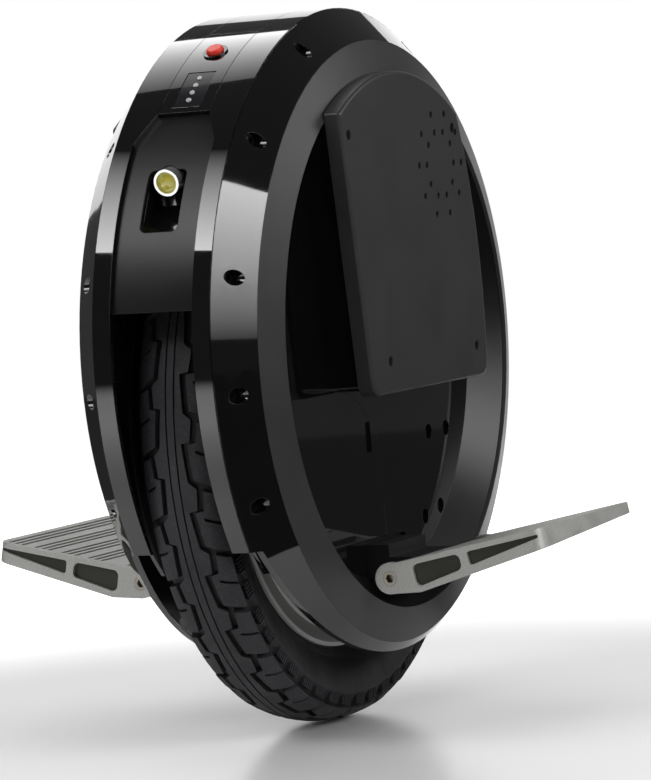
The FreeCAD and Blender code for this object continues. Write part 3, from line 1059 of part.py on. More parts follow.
def make_axle_and_stator():
    """The fixed axle with the laminated core and its coils."""
    axle = rod(AXLE_RADIUS, V(-AXLE_HALF_LENGTH, 0, AXLE_Z), AXIS_X, 2 * AXLE_HALF_LENGTH)
    pieces["axle"] = axle
    core = tube(STATOR_RADIUS, STATOR_WINDOW, V(-STATOR_HALF_WIDTH, 0, AXLE_Z), AXIS_X, 2 * STATOR_HALF_WIDTH)
    hub_outer = AXLE_RADIUS + STATOR_SPOKE
    hub_half = BEARING_INNER_X - SEAM
    hub = tube(hub_outer, AXLE_RADIUS + PRESS, V(-hub_half, 0, AXLE_Z), AXIS_X, 2 * hub_half)
    web_half = STATOR_SPOKE / 2
    web = tube(STATOR_WINDOW + 1, hub_outer - 1, V(-web_half, 0, AXLE_Z), AXIS_X, 2 * web_half)
    slot_middle = STATOR_RADIUS - SLOT_DEPTH / 2
    slots = []
    coils = []
    for index in range(SLOT_COUNT):
        turn = 360.0 * index / SLOT_COUNT
        slot = box((-FAR, -SLOT_WIDTH / 2, AXLE_Z + slot_middle - SLOT_DEPTH / 2),
                   (FAR, SLOT_WIDTH / 2, AXLE_Z + STATOR_RADIUS + 1))
        slot.rotate(V(0, 0, AXLE_Z), AXIS_X, turn)
        slots.append(slot)
        length = STATOR_HALF_WIDTH + WINDING_OVERHANG
        low = AXLE_Z + slot_middle - SLOT_DEPTH / 2 + SEAT
        coil_half = SLOT_WIDTH / 2 - SEAT
        coil = box((-length, -coil_half, low), (length, coil_half, low + SLOT_DEPTH - COIL_INSET))
        coil.rotate(V(0, 0, AXLE_Z), AXIS_X, turn)
        coils.append(coil)
    core = joined([core, hub, web])
    pieces["stator_core"] = core.cut(Part.makeCompound(slots))
    pieces["stator_coils"] = Part.makeCompound(coils)


def tyre_outline(depth):
    """The tyre's outer line from crown to flange, moved inwards, as (x, radius) points of its arcs."""
    side_radius = (RIM_FLANGE_RADIUS + TYRE_RADIUS) / 2
    return [(0.0, TYRE_RADIUS - depth), (TREAD_HALF_WIDTH - depth * 0.6, TYRE_RADIUS - TREAD_DROP - depth),
            (SHOULDER_HALF_WIDTH - depth * 0.7, TYRE_RADIUS - SHOULDER_DROP - depth * 0.7),
            (TYRE_HALF_WIDTH - depth, side_radius),
            (RIM_HALF_WIDTH - RIM_FLANGE - SEAT - depth, RIM_FLANGE_RADIUS + 1)]


def turned_tyre(outer, bead):
    """A ring from half outlines on both sides: crown arc, shoulder, side arc, then a straight bead."""
    crown, tread, shoulder, side, flange = [V(x, -radius, AXLE_Z) for x, radius in outer]
    foot = V(flange.x, -bead, AXLE_Z)
    flipped = [V(-p.x, p.y, p.z) for p in (tread, shoulder, side, flange, foot)]
    edges = [
        Part.Arc(flipped[0], crown, tread).toShape(),
        Part.LineSegment(tread, shoulder).toShape(),
        Part.Arc(shoulder, side, flange).toShape(),
        Part.LineSegment(flange, foot).toShape(),
        Part.LineSegment(foot, flipped[4]).toShape(),
        Part.LineSegment(flipped[4], flipped[3]).toShape(),
        Part.Arc(flipped[3], flipped[2], flipped[1]).toShape(),
        Part.LineSegment(flipped[1], flipped[0]).toShape(),
    ]
    return Part.Face(Part.Wire(edges)).revolve(V(0, 0, AXLE_Z), AXIS_X, 360)


def make_tyre():
    """The grooved tyre and the tube in it."""
    bead = BEAD_RADIUS + SEAT
    tyre = turned_tyre(tyre_outline(0.0), bead)
    room = turned_tyre(tyre_outline(TREAD_DEPTH + CASING), 0.0)
    tyre = tyre.cut(room)
    for x in (-2.2 * TREAD_GROOVE, 2.2 * TREAD_GROOVE):
        low = x - TREAD_GROOVE / 2
        tyre = tyre.cut(band(low, low + TREAD_GROOVE, TYRE_RADIUS - TREAD_DEPTH, TYRE_RADIUS + 1, AXLE_Z))
    pieces["tyre"] = tyre
    skin = TREAD_DEPTH + CASING + SEAT
    body = turned_tyre(tyre_outline(skin), BEAD_RADIUS).cut(
        turned_tyre(tyre_outline(skin + TUBE_WALL), BEAD_RADIUS + TUBE_WALL))
    pieces["inner_tube"] = body


def make_rim_and_motor():
    """The rim with its steel ring and magnets, two lids, bearings, lid screws and the valve."""
    flange_in = RIM_HALF_WIDTH - RIM_FLANGE
    seat_in = flange_in - BEAD_WIDTH
    half = [(MOTOR_HALF_WIDTH, MOTOR_RADIUS), (MOTOR_HALF_WIDTH, LID_SEAT_RADIUS),
            (DRUM_HALF_WIDTH, LID_SEAT_RADIUS), (DRUM_HALF_WIDTH, DRUM_RADIUS - DRUM_DRAFT),
            (RIM_HALF_WIDTH, DRUM_RADIUS), (RIM_HALF_WIDTH, RIM_FLANGE_RADIUS),
            (flange_in, RIM_FLANGE_RADIUS), (flange_in, BEAD_RADIUS), (seat_in, BEAD_RADIUS),
            (WELL_HALF_WIDTH, WELL_RADIUS)]
    rim = turned(half + [(-x, radius) for x, radius in reversed(half)], AXLE_Z)
    pocket_step = 360.0 / DRUM_POCKET_COUNT
    # The valve, at the bottom, comes out between two pockets
    first = -90.0 + pocket_step * (1.0 - DRUM_POCKET_SHARE) / 2
    for index in range(DRUM_POCKET_COUNT):
        pocket = band(RIM_HALF_WIDTH + DRUM_POCKET_MARGIN, DRUM_HALF_WIDTH + 1, DRUM_RADIUS - DRUM_POCKET_DEPTH,
                      DRUM_RADIUS + 1, AXLE_Z, first + pocket_step * index, pocket_step * DRUM_POCKET_SHARE)
        rim = rim.cut(pocket).cut(mirrored_x(pocket))
    yoke_inner = MOTOR_RADIUS - YOKE_WALL
    yoke_half = MOTOR_HALF_WIDTH - SEAT
    pieces["rotor_ring"] = band(-yoke_half, yoke_half, yoke_inner, MOTOR_RADIUS - PRESS, AXLE_Z)
    magnets = []
    step = 360.0 / MAGNET_COUNT
    magnet_inner = yoke_inner - MAGNET_WALL
    for index in range(MAGNET_COUNT):
        magnets.append(band(-MAGNET_HALF_WIDTH, MAGNET_HALF_WIDTH, magnet_inner, yoke_inner - PRESS, AXLE_Z,
                            step * index, step - MAGNET_GAP_DEG))
    pieces["magnets"] = Part.makeCompound(magnets)
    lid_x = MOTOR_HALF_WIDTH + SEAT
    lid_edge = LID_SEAT_RADIUS - SEAM
    bearing_end = BEARING_INNER_X + BEARING_WIDTH
    lid_end = lid_x + LID_WALL
    outline = [(BEARING_INNER_X, BEARING_RADIUS + PRESS), (BEARING_INNER_X, LID_HUB_RADIUS),
               (lid_x, LID_HUB_RADIUS), (lid_x, lid_edge), (lid_end, lid_edge), (lid_end, LID_HUB_RADIUS),
               (HUB_HALF_WIDTH, LID_HUB_RADIUS - LID_HUB_DRAFT), (HUB_HALF_WIDTH, AXLE_RADIUS + SEAM),
               (bearing_end + SEAT, AXLE_RADIUS + SEAM),
               (bearing_end + SEAT, BEARING_RADIUS + PRESS)]
    lid = turned(outline, AXLE_Z)
    lid_step = 360.0 / LID_POCKET_COUNT
    pocket_in = LID_HUB_RADIUS + LID_POCKET_INSET
    pocket_out = LID_SCREW_CIRCLE - 4 * LID_SCREW_RADIUS
    for index in range(LID_POCKET_COUNT):
        lid = lid.cut(band(lid_end - LID_POCKET_DEPTH, lid_end + 1, pocket_in, pocket_out, AXLE_Z,
                           lid_step * index, lid_step * 0.62))
    screws = []
    for index in range(LID_SCREW_COUNT):
        angle = 2 * math.pi * index / LID_SCREW_COUNT
        place = V(0, LID_SCREW_CIRCLE * math.cos(angle), AXLE_Z + LID_SCREW_CIRCLE * math.sin(angle))
        start = place + AXIS_X * (lid_x - 3 * LID_SCREW_RADIUS)
        hole = rod(LID_SCREW_RADIUS + PRESS, start, AXIS_X, FAR)
        lid = lid.cut(hole)
        rim = rim.cut(hole).cut(mirrored_x(hole))
        shank = rod(LID_SCREW_RADIUS, start, AXIS_X, LID_WALL + 3 * LID_SCREW_RADIUS)
        head = rod(1.7 * LID_SCREW_RADIUS, place + AXIS_X * lid_end, AXIS_X, LID_SCREW_RADIUS)
        socket_start = place + AXIS_X * (lid_end + LID_SCREW_RADIUS / 2)
        socket = hexagon(0.8 * LID_SCREW_RADIUS, socket_start, AXIS_X, LID_SCREW_RADIUS)
        screws.append(shank.fuse(head).cut(socket).removeSplitter())
    pieces["left_motor_lid"] = lid
    pieces["right_motor_lid"] = mirrored_x(lid)
    pieces["motor_lid_screws"] = Part.makeCompound(screws + [mirrored_x(one) for one in screws])
    bearing_start = V(BEARING_INNER_X, 0, AXLE_Z)
    bearing = tube(BEARING_RADIUS, AXLE_RADIUS + RUNNING, bearing_start, AXIS_X, BEARING_WIDTH)
    pieces["wheel_bearings"] = Part.makeCompound([bearing, mirrored_x(bearing)])
    valve_start = V(WELL_HALF_WIDTH, 0, AXLE_Z - VALVE_CIRCLE)
    rim = rim.cut(rod(VALVE_RADIUS + PRESS, valve_start, AXIS_X, FAR))
    pieces["rim"] = rim
    stem = rod(VALVE_RADIUS, valve_start, AXIS_X, VALVE_END_X - valve_start.x)
    cap_start = V(DRUM_HALF_WIDTH + SEAT, 0, valve_start.z)
    cap = rod(VALVE_RADIUS + VALVE_CAP_WALL, cap_start, AXIS_X, VALVE_END_X - cap_start.x)
    pieces["valve_stem"] = joined([stem, cap])


def battery(top_gap):
    """A wrapped pack of cells between the plate screws' bosses, up to a gap below the crest."""
    low = SHELL_Z + PLATE_BOTTOM_FRONT[1] + BOX_INSET + BOX_WALL + BATTERY_GAP
    x_high = PLATE_BACK_X - BATTERY_GAP
    clear = PLATE_SCREW_BOSS_RADIUS + BATTERY_SIDE_GAP
    block = box((x_high - BATTERY_THICKNESS, PLATE_SCREWS[1][0] + clear, low),
                (x_high, PLATE_SCREWS[2][0] - clear, SHELL_Z + CREST_RADIUS - top_gap))
    return block.makeFillet(BATTERY_EDGE, [edge for edge in block.Edges if is_along(edge, AXIS_Z)])


def make_electronics():
    """Battery packs behind both plates, and the control board on its heat sink on the left."""
    pieces["left_battery"] = battery(BATTERY_TOP_GAP)
    pieces["right_battery"] = mirrored_x(battery(BATTERY_TALL_GAP))
    centre = side_point(FRAME_OUTER_X + SEAT, BOARD_CENTRE)
    half_y = BOARD_SIZE[0] / 2
    half_z = BOARD_SIZE[1] / 2
    sink_end = centre.x + SINK_WALL
    board_end = sink_end + SEAT + BOARD_WALL
    pieces["heat_sink"] = box((centre.x, centre.y - half_y, centre.z - half_z),
                              (sink_end, centre.y + half_y, centre.z + half_z))
    pieces["control_board"] = box((sink_end + SEAT, centre.y - half_y, centre.z - half_z),
                                  (board_end, centre.y + half_y, centre.z + half_z))
    capacitors = []
    for index in range(CAPACITOR_COUNT):
        y = centre.y + (index - (CAPACITOR_COUNT - 1) / 2) * CAPACITOR_STEP
        capacitors.append(rod(CAPACITOR_RADIUS, V(board_end, y, centre.z), AXIS_X, CAPACITOR_HEIGHT))
    pieces["capacitors"] = Part.makeCompound(capacitors)


def main():
    """Build every piece and write one file for each."""
    make_frame()
    make_side_cover()
    make_side_fasteners()
    make_side_plates()
    make_access_covers()
    make_spine()
    make_indicators()
    make_power_button()
    make_headlight()
    make_charge_socket()
    make_handle()
    make_pedals()
    make_hangers()
    make_axle_and_stator()
    make_tyre()
    make_rim_and_motor()
    make_electronics()
    os.makedirs("parts", exist_ok=True)
    for name, shape in pieces.items():
        shape.exportStep("parts/" + name + ".step")
        print(name, len(shape.Solids), shape.isValid(), round(shape.Volume / 1000, 2))


main()
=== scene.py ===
"""Looks of the electric unicycle: finishes for every solid, a full tyre tread, the studio and the camera.

Everything is in metres in the shared frame: +X is the rider's left, -Y the front and +Z up. Sizes that belong
to the object are written in millimetres and turned into metres once, when a mesh is filled.
"""
import logging
import math
from dataclasses import dataclass, field, replace
from enum import Enum
from typing import Dict, Optional, Sequence, Tuple

import bpy
import numpy as np
from mathutils import Matrix, Vector


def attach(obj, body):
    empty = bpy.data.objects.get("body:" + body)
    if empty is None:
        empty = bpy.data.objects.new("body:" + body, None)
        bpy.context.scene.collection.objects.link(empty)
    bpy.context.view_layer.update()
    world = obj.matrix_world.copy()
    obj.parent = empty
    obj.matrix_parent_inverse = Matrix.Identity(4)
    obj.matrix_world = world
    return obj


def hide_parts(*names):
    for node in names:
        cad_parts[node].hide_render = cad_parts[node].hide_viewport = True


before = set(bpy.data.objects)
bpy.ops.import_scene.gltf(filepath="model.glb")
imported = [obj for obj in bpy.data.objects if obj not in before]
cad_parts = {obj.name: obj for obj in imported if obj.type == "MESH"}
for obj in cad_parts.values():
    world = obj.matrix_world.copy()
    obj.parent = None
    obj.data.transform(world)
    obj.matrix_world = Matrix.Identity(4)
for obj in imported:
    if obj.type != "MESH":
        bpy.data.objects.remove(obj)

log = logging.getLogger("unicycle")
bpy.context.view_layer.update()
MM = 0.001
Colour = Tuple[float, float, float, float]
# Points in millimetres, rows of four vertex numbers, and each point's share of painted light, the rest being
# painted shade
Strip = Tuple[np.ndarray, np.ndarray, np.ndarray]


def linear(code: str) -> Colour:
    """Turn an sRGB hex colour into linear light.

    Args:
        code: six hex digits after a hash.

    Returns:
        Red, green, blue and an alpha of one.
    """
    parts = [int(code[i:i + 2], 16) / 255.0 for i in (1, 3, 5)]
    light = [p / 12.92 if p <= 0.04045 else ((p + 0.055) / 1.055) ** 2.4 for p in parts]
    return light[0], light[1], light[2], 1.0


def per_mm(size: float) -> float:
    """Texture scale, in cells per metre, of a pattern whose cells are this many millimetres."""
    return 1000.0 / size


def add_node(tree: bpy.types.NodeTree, kind: str, inputs: Optional[Dict] = None,
             **settings) -> bpy.types.Node:
    """Add a node with its settings, values and links.

    Args:
        tree: the node tree.
        kind: the node's type name.
        inputs: socket name or index to a value, or to an output socket to link from.
        settings: attributes of the node.

    Returns:
        The new node.
    """
    node = tree.nodes.new(kind)
    for name, value in settings.items():
        setattr(node, name, value)
    for key, value in (inputs or {}).items():
        if isinstance(value, bpy.types.NodeSocket):
            tree.links.new(value, node.inputs[key])
        else:
            node.inputs[key].default_value = value
    return node


def empty_material(name: str) -> Tuple[bpy.types.Material, bpy.types.NodeTree]:
    """Make a material with no nodes yet.

    Args:
        name: the material's name.

    Returns:
        The material and its node tree.
    """
    material = bpy.data.materials.new(name)
    material.use_nodes = True
    material.node_tree.nodes.clear()
    return material, material.node_tree


class Pattern(Enum):
    """What a surface shows close up."""

    POLISHED = "polished"
    MOULDED = "moulded"
    CAST = "cast"
    TURNED = "turned"
    RUBBER = "rubber"
    PHOSPHOR = "phosphor"


def blend(tree: bpy.types.NodeTree, share: bpy.types.NodeSocket, first: object,
          second: object) -> bpy.types.NodeSocket:
    """Mix two colours.

    Args:
        tree: the node tree.
        share: how much of the second colour shows, 0 to 1.
        first: a colour, or a socket that gives one.
        second: the other colour, or a socket that gives it.

    Returns:
        The mixed colour.
    """
    return add_node(tree, "ShaderNodeMix", {0: share, 6: first, 7: second}, data_type="RGBA").outputs[2]


def reach(tree: bpy.types.NodeTree, place: bpy.types.NodeSocket, height_mm: float) -> bpy.types.NodeSocket:
    """Distance to a line along X.

    Args:
        tree: the material's nodes.
        place: object coordinates.
        height_mm: the line's height above the ground.

    Returns:
        The distance in metres.
    """
    lowered = add_node(tree, "ShaderNodeVectorMath", {0: place, 1: (0.0, 0.0, -height_mm * MM)},
                       operation="ADD")
    flat = add_node(tree, "ShaderNodeVectorMath", {0: lowered.outputs[0], 1: (0.0, 1.0, 1.0)},
                    operation="MULTIPLY")
    return add_node(tree, "ShaderNodeVectorMath", {0: flat.outputs[0]}, operation="LENGTH").outputs["Value"]


@dataclass(frozen=True)
class PaintedShade:
    """Painted shade: a darker colour on the faces that look along one axis, within one slice of the object across
    that axis.

    It ends `limit_mm` from the axle.
    """

    colour: str
    axis: str
    middle_mm: float
    half_mm: float
    limit_mm: float = 1000.0
    axle_z_mm: float = 184.0
    square: float = 0.8

    def share(self, tree: bpy.types.NodeTree, spot: bpy.types.Node) -> bpy.types.NodeSocket:
        """Where the tone lies: one where the normal runs along the axis and the place is in the slice.

        Args:
            tree: the material's nodes.
            spot: the material's texture coordinates.

        Returns:
            One on those faces and zero elsewhere.
        """
        normal = add_node(tree, "ShaderNodeSeparateXYZ", {0: spot.outputs["Normal"]}).outputs[self.axis]
        along = add_node(tree, "ShaderNodeMath", {0: normal}, operation="ABSOLUTE").outputs[0]
        facing = add_node(tree, "ShaderNodeMath", {0: along, 1: self.square},
                          operation="GREATER_THAN").outputs[0]
        place = add_node(tree, "ShaderNodeSeparateXYZ", {0: spot.outputs["Object"]}).outputs[self.axis]
        inside = add_node(tree, "ShaderNodeMath", {0: place, 1: self.middle_mm * MM, 2: self.half_mm * MM},
                          operation="COMPARE").outputs[0]
        here = add_node(tree, "ShaderNodeMath", {0: facing, 1: inside}, operation="MULTIPLY").outputs[0]
        far = reach(tree, spot.outputs["Object"], self.axle_z_mm)
        near = add_node(tree, "ShaderNodeMath", {0: far, 1: self.limit_mm * MM},
                        operation="LESS_THAN").outputs[0]
        return add_node(tree, "ShaderNodeMath", {0: here, 1: near}, operation="MULTIPLY").outputs[0]


@dataclass(frozen=True)
class DullRing:
    """A ring about the shell's axis whose steep walls keep the mould's satin skin."""

    roughness: float
    low_mm: float
    high_mm: float
    axis_z_mm: float = 227.0
    square: float = 0.85

    def share(self, tree: bpy.types.NodeTree, spot: bpy.types.Node) -> bpy.types.NodeSocket:
        """Where the ring lies: one where the axis is at the right distance and the face isn't square to it.

        Args:
            tree: the material's nodes.
            spot: the material's texture coordinates.

        Returns:
            One on those faces and zero elsewhere.
        """
        far = reach(tree, spot.outputs["Object"], self.axis_z_mm)
        middle, half = (self.low_mm + self.high_mm) / 2, (self.high_mm - self.low_mm) / 2
        inside = add_node(tree, "ShaderNodeMath", {0: far, 1: middle * MM, 2: half * MM},
                          operation="COMPARE").outputs[0]
        normal = add_node(tree, "ShaderNodeSeparateXYZ", {0: spot.outputs["Normal"]}).outputs["X"]
        along = add_node(tree, "ShaderNodeMath", {0: normal}, operation="ABSOLUTE").outputs[0]
        steep = add_node(tree, "ShaderNodeMath", {0: along, 1: self.square}, operation="LESS_THAN").outputs[0]
        return add_node(tree, "ShaderNodeMath", {0: inside, 1: steep}, operation="MULTIPLY").outputs[0]


@dataclass(frozen=True)
class Finish:
    """One real material and how its surface was made.

    The colour goes from dark to light over patches of `patch_mm`, and `grain_mm` is the bump's cell size.
    """

    name: str
    dark: str
    light: str
    roughness: float
    pattern: Pattern
    metallic: float = 0.0
    ior: float = 1.5
    coat: float = 0.0
    grain_mm: float = 1.0
    grain_depth_mm: float = 0.02
    patch_mm: float = 40.0
    rough_spread: float = 0.03
    edge_mm: float = 0.35
    glow: float = 0.0
    speck: str = ""
    # Painted shade: a darker colour for the grooves and walls, from the mesh's share of painted light
    painted_groove_shade: str = ""
    # Painted shade: a darker colour on faces that sit in shade
    second: Optional[PaintedShade] = None
    dull: Optional[DullRing] = None

    def build(self) -> bpy.types.Material:
        """Make the material.

        Returns:
            A node material named for the real one.
        """
        material, tree = empty_material(self.name)
        spot = add_node(tree, "ShaderNodeTexCoord")
        place = spot.outputs["Object"]
        patch = add_node(tree, "ShaderNodeTexNoise", {"Vector": place, "Scale": per_mm(self.patch_mm),
                                                      "Detail": 4.0, "Roughness": 0.6}).outputs["Fac"]
        colour = blend(tree, patch, linear(self.dark), linear(self.light))
        rough = add_node(tree, "ShaderNodeMapRange", {"Value": patch, "From Min": 0.3, "From Max": 0.7,
                                                      "To Min": max(self.roughness - self.rough_spread, 0.01),
                                                      "To Max": self.roughness + self.rough_spread})
        height = self.relief(tree, place)
        if self.speck:
            # Pits and high spots of the skin take another tone than the rest
            spread = add_node(tree, "ShaderNodeMapRange", {"Value": height, "From Min": 0.52,
                                                           "From Max": 0.72})
            colour = blend(tree, spread.outputs["Result"], colour, linear(self.speck))
        if self.painted_groove_shade:
            # The mesh gives each point's share of painted light: the tops keep the paler rubber tone, and the
            # grooves and walls take a darker colour as painted shade
            painted_light_share = add_node(tree, "ShaderNodeAttribute", attribute_name="painted_light_share").outputs["Fac"]
            colour = blend(tree, painted_light_share, linear(self.painted_groove_shade), colour)
        if self.second:
            # Painted shade: faces that sit in shade, such as the pedal pockets' floors and the rim's sides, take
            # a darker colour
            colour = blend(tree, self.second.share(tree, spot), colour, linear(self.second.colour))
        edge = add_node(tree, "ShaderNodeBevel", {"Radius": self.edge_mm * MM}, samples=4)
        bump = add_node(tree, "ShaderNodeBump", {"Height": height, "Normal": edge.outputs["Normal"],
                                                 "Strength": 1.0, "Distance": self.grain_depth_mm * MM})
        shader = add_node(tree, "ShaderNodeBsdfPrincipled", {
            "Base Color": colour, "Roughness": rough.outputs["Result"], "Metallic": self.metallic,
            "IOR": self.ior, "Coat Weight": self.coat, "Coat Roughness": 0.03,
            "Normal": bump.outputs["Normal"]})
        if self.dull:
            ring = self.dull.share(tree, spot)
            rougher = add_node(tree, "ShaderNodeMix", {0: ring, 2: rough.outputs["Result"],
                                                       3: self.dull.roughness})
            bare = add_node(tree, "ShaderNodeMath", {0: 1.0, 1: ring}, operation="SUBTRACT")
            coat = add_node(tree, "ShaderNodeMath", {0: bare.outputs[0], 1: self.coat}, operation="MULTIPLY")
            tree.links.new(rougher.outputs[0], shader.inputs["Roughness"])
            tree.links.new(coat.outputs[0], shader.inputs["Coat Weight"])
        if self.glow:
            tree.links.new(colour, shader.inputs["Emission Color"])
            shader.inputs["Emission Strength"].default_value = self.glow
        add_node(tree, "ShaderNodeOutputMaterial", {"Surface": shader.outputs["BSDF"]})
        return material

    def relief(self, tree: bpy.types.NodeTree, place: bpy.types.NodeSocket) -> bpy.types.NodeSocket:
        """Add the close-up pattern.

        Args:
            tree: the material's nodes.
            place: object coordinates.

        Returns:
            The bump's height.
        """
        scale = per_mm(self.grain_mm)
        if self.pattern is Pattern.TURNED:
            # Lathe lines: rings about the axle, from the distance to it
            axle = add_node(tree, "ShaderNodeVectorMath", {0: place, 1: (0.0, 0.0, -Wheel().axle_z * MM)},
                            operation="ADD")
            flat = add_node(tree, "ShaderNodeVectorMath", {0: axle.outputs[0], 1: (0.15, 1.0, 1.0)},
                            operation="MULTIPLY")
            distance = add_node(tree, "ShaderNodeVectorMath", {0: flat.outputs[0]}, operation="LENGTH")
            rings = add_node(tree, "ShaderNodeTexNoise", {"W": distance.outputs["Value"], "Scale": scale,
                                                          "Detail": 2.0}, noise_dimensions="1D")
            return rings.outputs["Fac"]
        if self.pattern is Pattern.PHOSPHOR:
            cells = add_node(tree, "ShaderNodeTexVoronoi", {"Vector": place, "Scale": scale})
            return cells.outputs["Distance"]
        detail = {Pattern.POLISHED: 0.0, Pattern.MOULDED: 3.0, Pattern.CAST: 6.0,
                  Pattern.RUBBER: 8.0}[self.pattern]
        grain = add_node(tree, "ShaderNodeTexNoise", {"Vector": place, "Scale": scale, "Detail": detail,
                                                      "Roughness": 0.65})
        return grain.outputs["Fac"]


# Piano-black ABS under clear lacquer: near black, with clean reflections and a very slight waviness
PIANO_BLACK = Finish("piano_black_abs", "#060607", "#0b0b0c", 0.05, Pattern.POLISHED, coat=1.0, grain_mm=60.0,
                     grain_depth_mm=0.02, rough_spread=0.02, edge_mm=0.5)
# The side covers: the same lacquer, with a satin wall round the dish
COVER_BLACK = replace(PIANO_BLACK, name="piano_black_cover_abs", dull=DullRing(0.34, 141.0, 159.5))
# The same plastic, satin from the mould: soft, blurred reflections. The grain is drawn coarser to show
SATIN_BLACK = Finish("satin_abs", "#2b2b2c", "#333334", 0.38, Pattern.MOULDED, grain_mm=0.8,
                     grain_depth_mm=0.02, edge_mm=0.6)
# Front and rear cover: a darker satin with round edges that catch a soft line of light
SATIN_COVER = Finish("satin_cover_abs", "#101011", "#151516", 0.34, Pattern.MOULDED, ior=1.4, grain_mm=0.8,
                     grain_depth_mm=0.015, edge_mm=0.9)
# Glossy ABS of the small pockets: wavy, with short bright glints
GLOSS_POCKET = Finish("glossy_pocket_abs", "#0a0a0b", "#141416", 0.12, Pattern.POLISHED, coat=0.6,
                      grain_mm=9.0, grain_depth_mm=0.1, edge_mm=0.5)
# Glass-filled nylon of the inner pieces: dull black with a coarse grain
INNER_BLACK = Finish("moulded_nylon", "#0f0f10", "#161617", 0.5, Pattern.MOULDED, grain_mm=1.0,
                     grain_depth_mm=0.03)
# Filled rubber: bluish black, blurred shine, worn specks in the grain; the tops of the blocks keep a paler tone
# while the grooves and walls are darkened as painted shade
TYRE_RUBBER = Finish("tyre_rubber", "#1b1b1f", "#27272b", 0.6, Pattern.RUBBER, grain_mm=1.6,
                     grain_depth_mm=0.22, rough_spread=0.1, patch_mm=25.0, edge_mm=0.25, speck="#3b3b41",
                     painted_groove_shade="#0b0b0d")
# Sand-cast aluminium, blasted: a pale grey metal with a fine pitted skin, the pockets' floors painted darker as
# painted shade
CAST_ALUMINIUM = Finish("cast_aluminium", "#b4b4b1", "#cbcbc7", 0.44, Pattern.CAST, metallic=0.55,
                        grain_mm=0.9, grain_depth_mm=0.05, rough_spread=0.08, patch_mm=18.0, edge_mm=0.7,
                        speck="#9d9d98", second=PaintedShade("#3d3e38", "Y", -77.7, 0.7))
# Turned aluminium of the motor lids: fine rings about the axle
RIM_ALUMINIUM = Finish("turned_aluminium", "#b4b4b3", "#d0d0cf", 0.28, Pattern.TURNED, metallic=1.0,
                       grain_mm=0.6, grain_depth_mm=0.01, edge_mm=0.5)
# The rim: a pale, mostly diffuse aluminium, partly its own colour and partly a painted highlight on the flange's
# edge; its sides nearer the axle are darker as painted shade
RIM_WITH_PAINTED_LIGHT = Finish("rim_aluminium_painted_light_and_shade", "#dededc", "#efefed", 0.3, Pattern.CAST, metallic=0.2,
                           grain_mm=1.5, grain_depth_mm=0.03, edge_mm=0.6,
                           second=PaintedShade("#8a8a87", "X", 0.0, 60.0, 136.6))
# Painted casting: black paint over a pitted skin
BLACK_CASTING = Finish("painted_casting", "#101011", "#1b1b1c", 0.45, Pattern.CAST, grain_mm=1.2,
                       grain_depth_mm=0.05, edge_mm=0.7)
# Black oxide on steel screws: dark metal with a grey shine
BLACK_STEEL = Finish("black_oxide_steel", "#19191a", "#262628", 0.3, Pattern.MOULDED, metallic=0.8,
                     grain_mm=0.6, edge_mm=0.3)
# Ground steel: warm grey metal
GROUND_STEEL = Finish("ground_steel", "#8d877c", "#aea89b", 0.3, Pattern.CAST, metallic=0.9, grain_mm=0.6,
                      edge_mm=0.3)
# Chrome plate of the lamp's ring: a clean mirror
BRIGHT_CHROME = Finish("bright_chrome", "#dcdcdc", "#ececec", 0.1, Pattern.POLISHED, metallic=0.9,
                       grain_mm=20.0, grain_depth_mm=0.005)
# Phosphor behind the lamp's lens: mottled yellow that glows a little
LAMP_PHOSPHOR = Finish("lamp_phosphor", "#a79c22", "#d8cf58", 0.18, Pattern.PHOSPHOR, coat=0.8, grain_mm=2.4,
                       grain_depth_mm=0.5, patch_mm=4.0, glow=0.1)
# Smoked acrylic: nearly black and shiny
SMOKED_WINDOW = Finish("smoked_acrylic", "#111115", "#17171b", 0.16, Pattern.POLISHED, coat=0.5,
                       grain_mm=30.0)
# Clear epoxy of the small lamps: pale with a bright shine
CLEAR_LED = Finish("clear_epoxy", "#8f8f94", "#d9d9dd", 0.1, Pattern.POLISHED, coat=0.8, patch_mm=1.5,
                   grain_mm=1.5, grain_depth_mm=0.1)
# Red ABS of the button: satin, with slightly darker patches
RED_BUTTON = Finish("red_abs", "#d9301f", "#ee4632", 0.33, Pattern.MOULDED, grain_mm=0.7, grain_depth_mm=0.02,
                    patch_mm=8.0, edge_mm=0.6)
# Red acrylic of the tail light: deep red under a wavy shine
RED_LENS = Finish("red_acrylic", "#8c0a0c", "#b01214", 0.12, Pattern.POLISHED, coat=0.6, grain_mm=3.0,
                  grain_depth_mm=0.15)
# Enamelled copper, laminated steel, shrunk PVC and solder mask: the motor, packs and board inside
COPPER = Finish("enamelled_copper", "#8a4a22", "#b0652f", 0.35, Pattern.CAST, metallic=1.0, grain_mm=0.8)
LAMINATION = Finish("electrical_steel", "#55565a", "#6b6c70", 0.45, Pattern.TURNED, metallic=1.0,
                    grain_mm=0.5)
PACK_WRAP = Finish("pvc_wrap", "#123a86", "#1a4aa0", 0.3, Pattern.MOULDED, grain_mm=6.0, grain_depth_mm=0.2)
BOARD_GREEN = Finish("solder_mask", "#0c4a22", "#14602e", 0.3, Pattern.MOULDED, grain_mm=1.5)


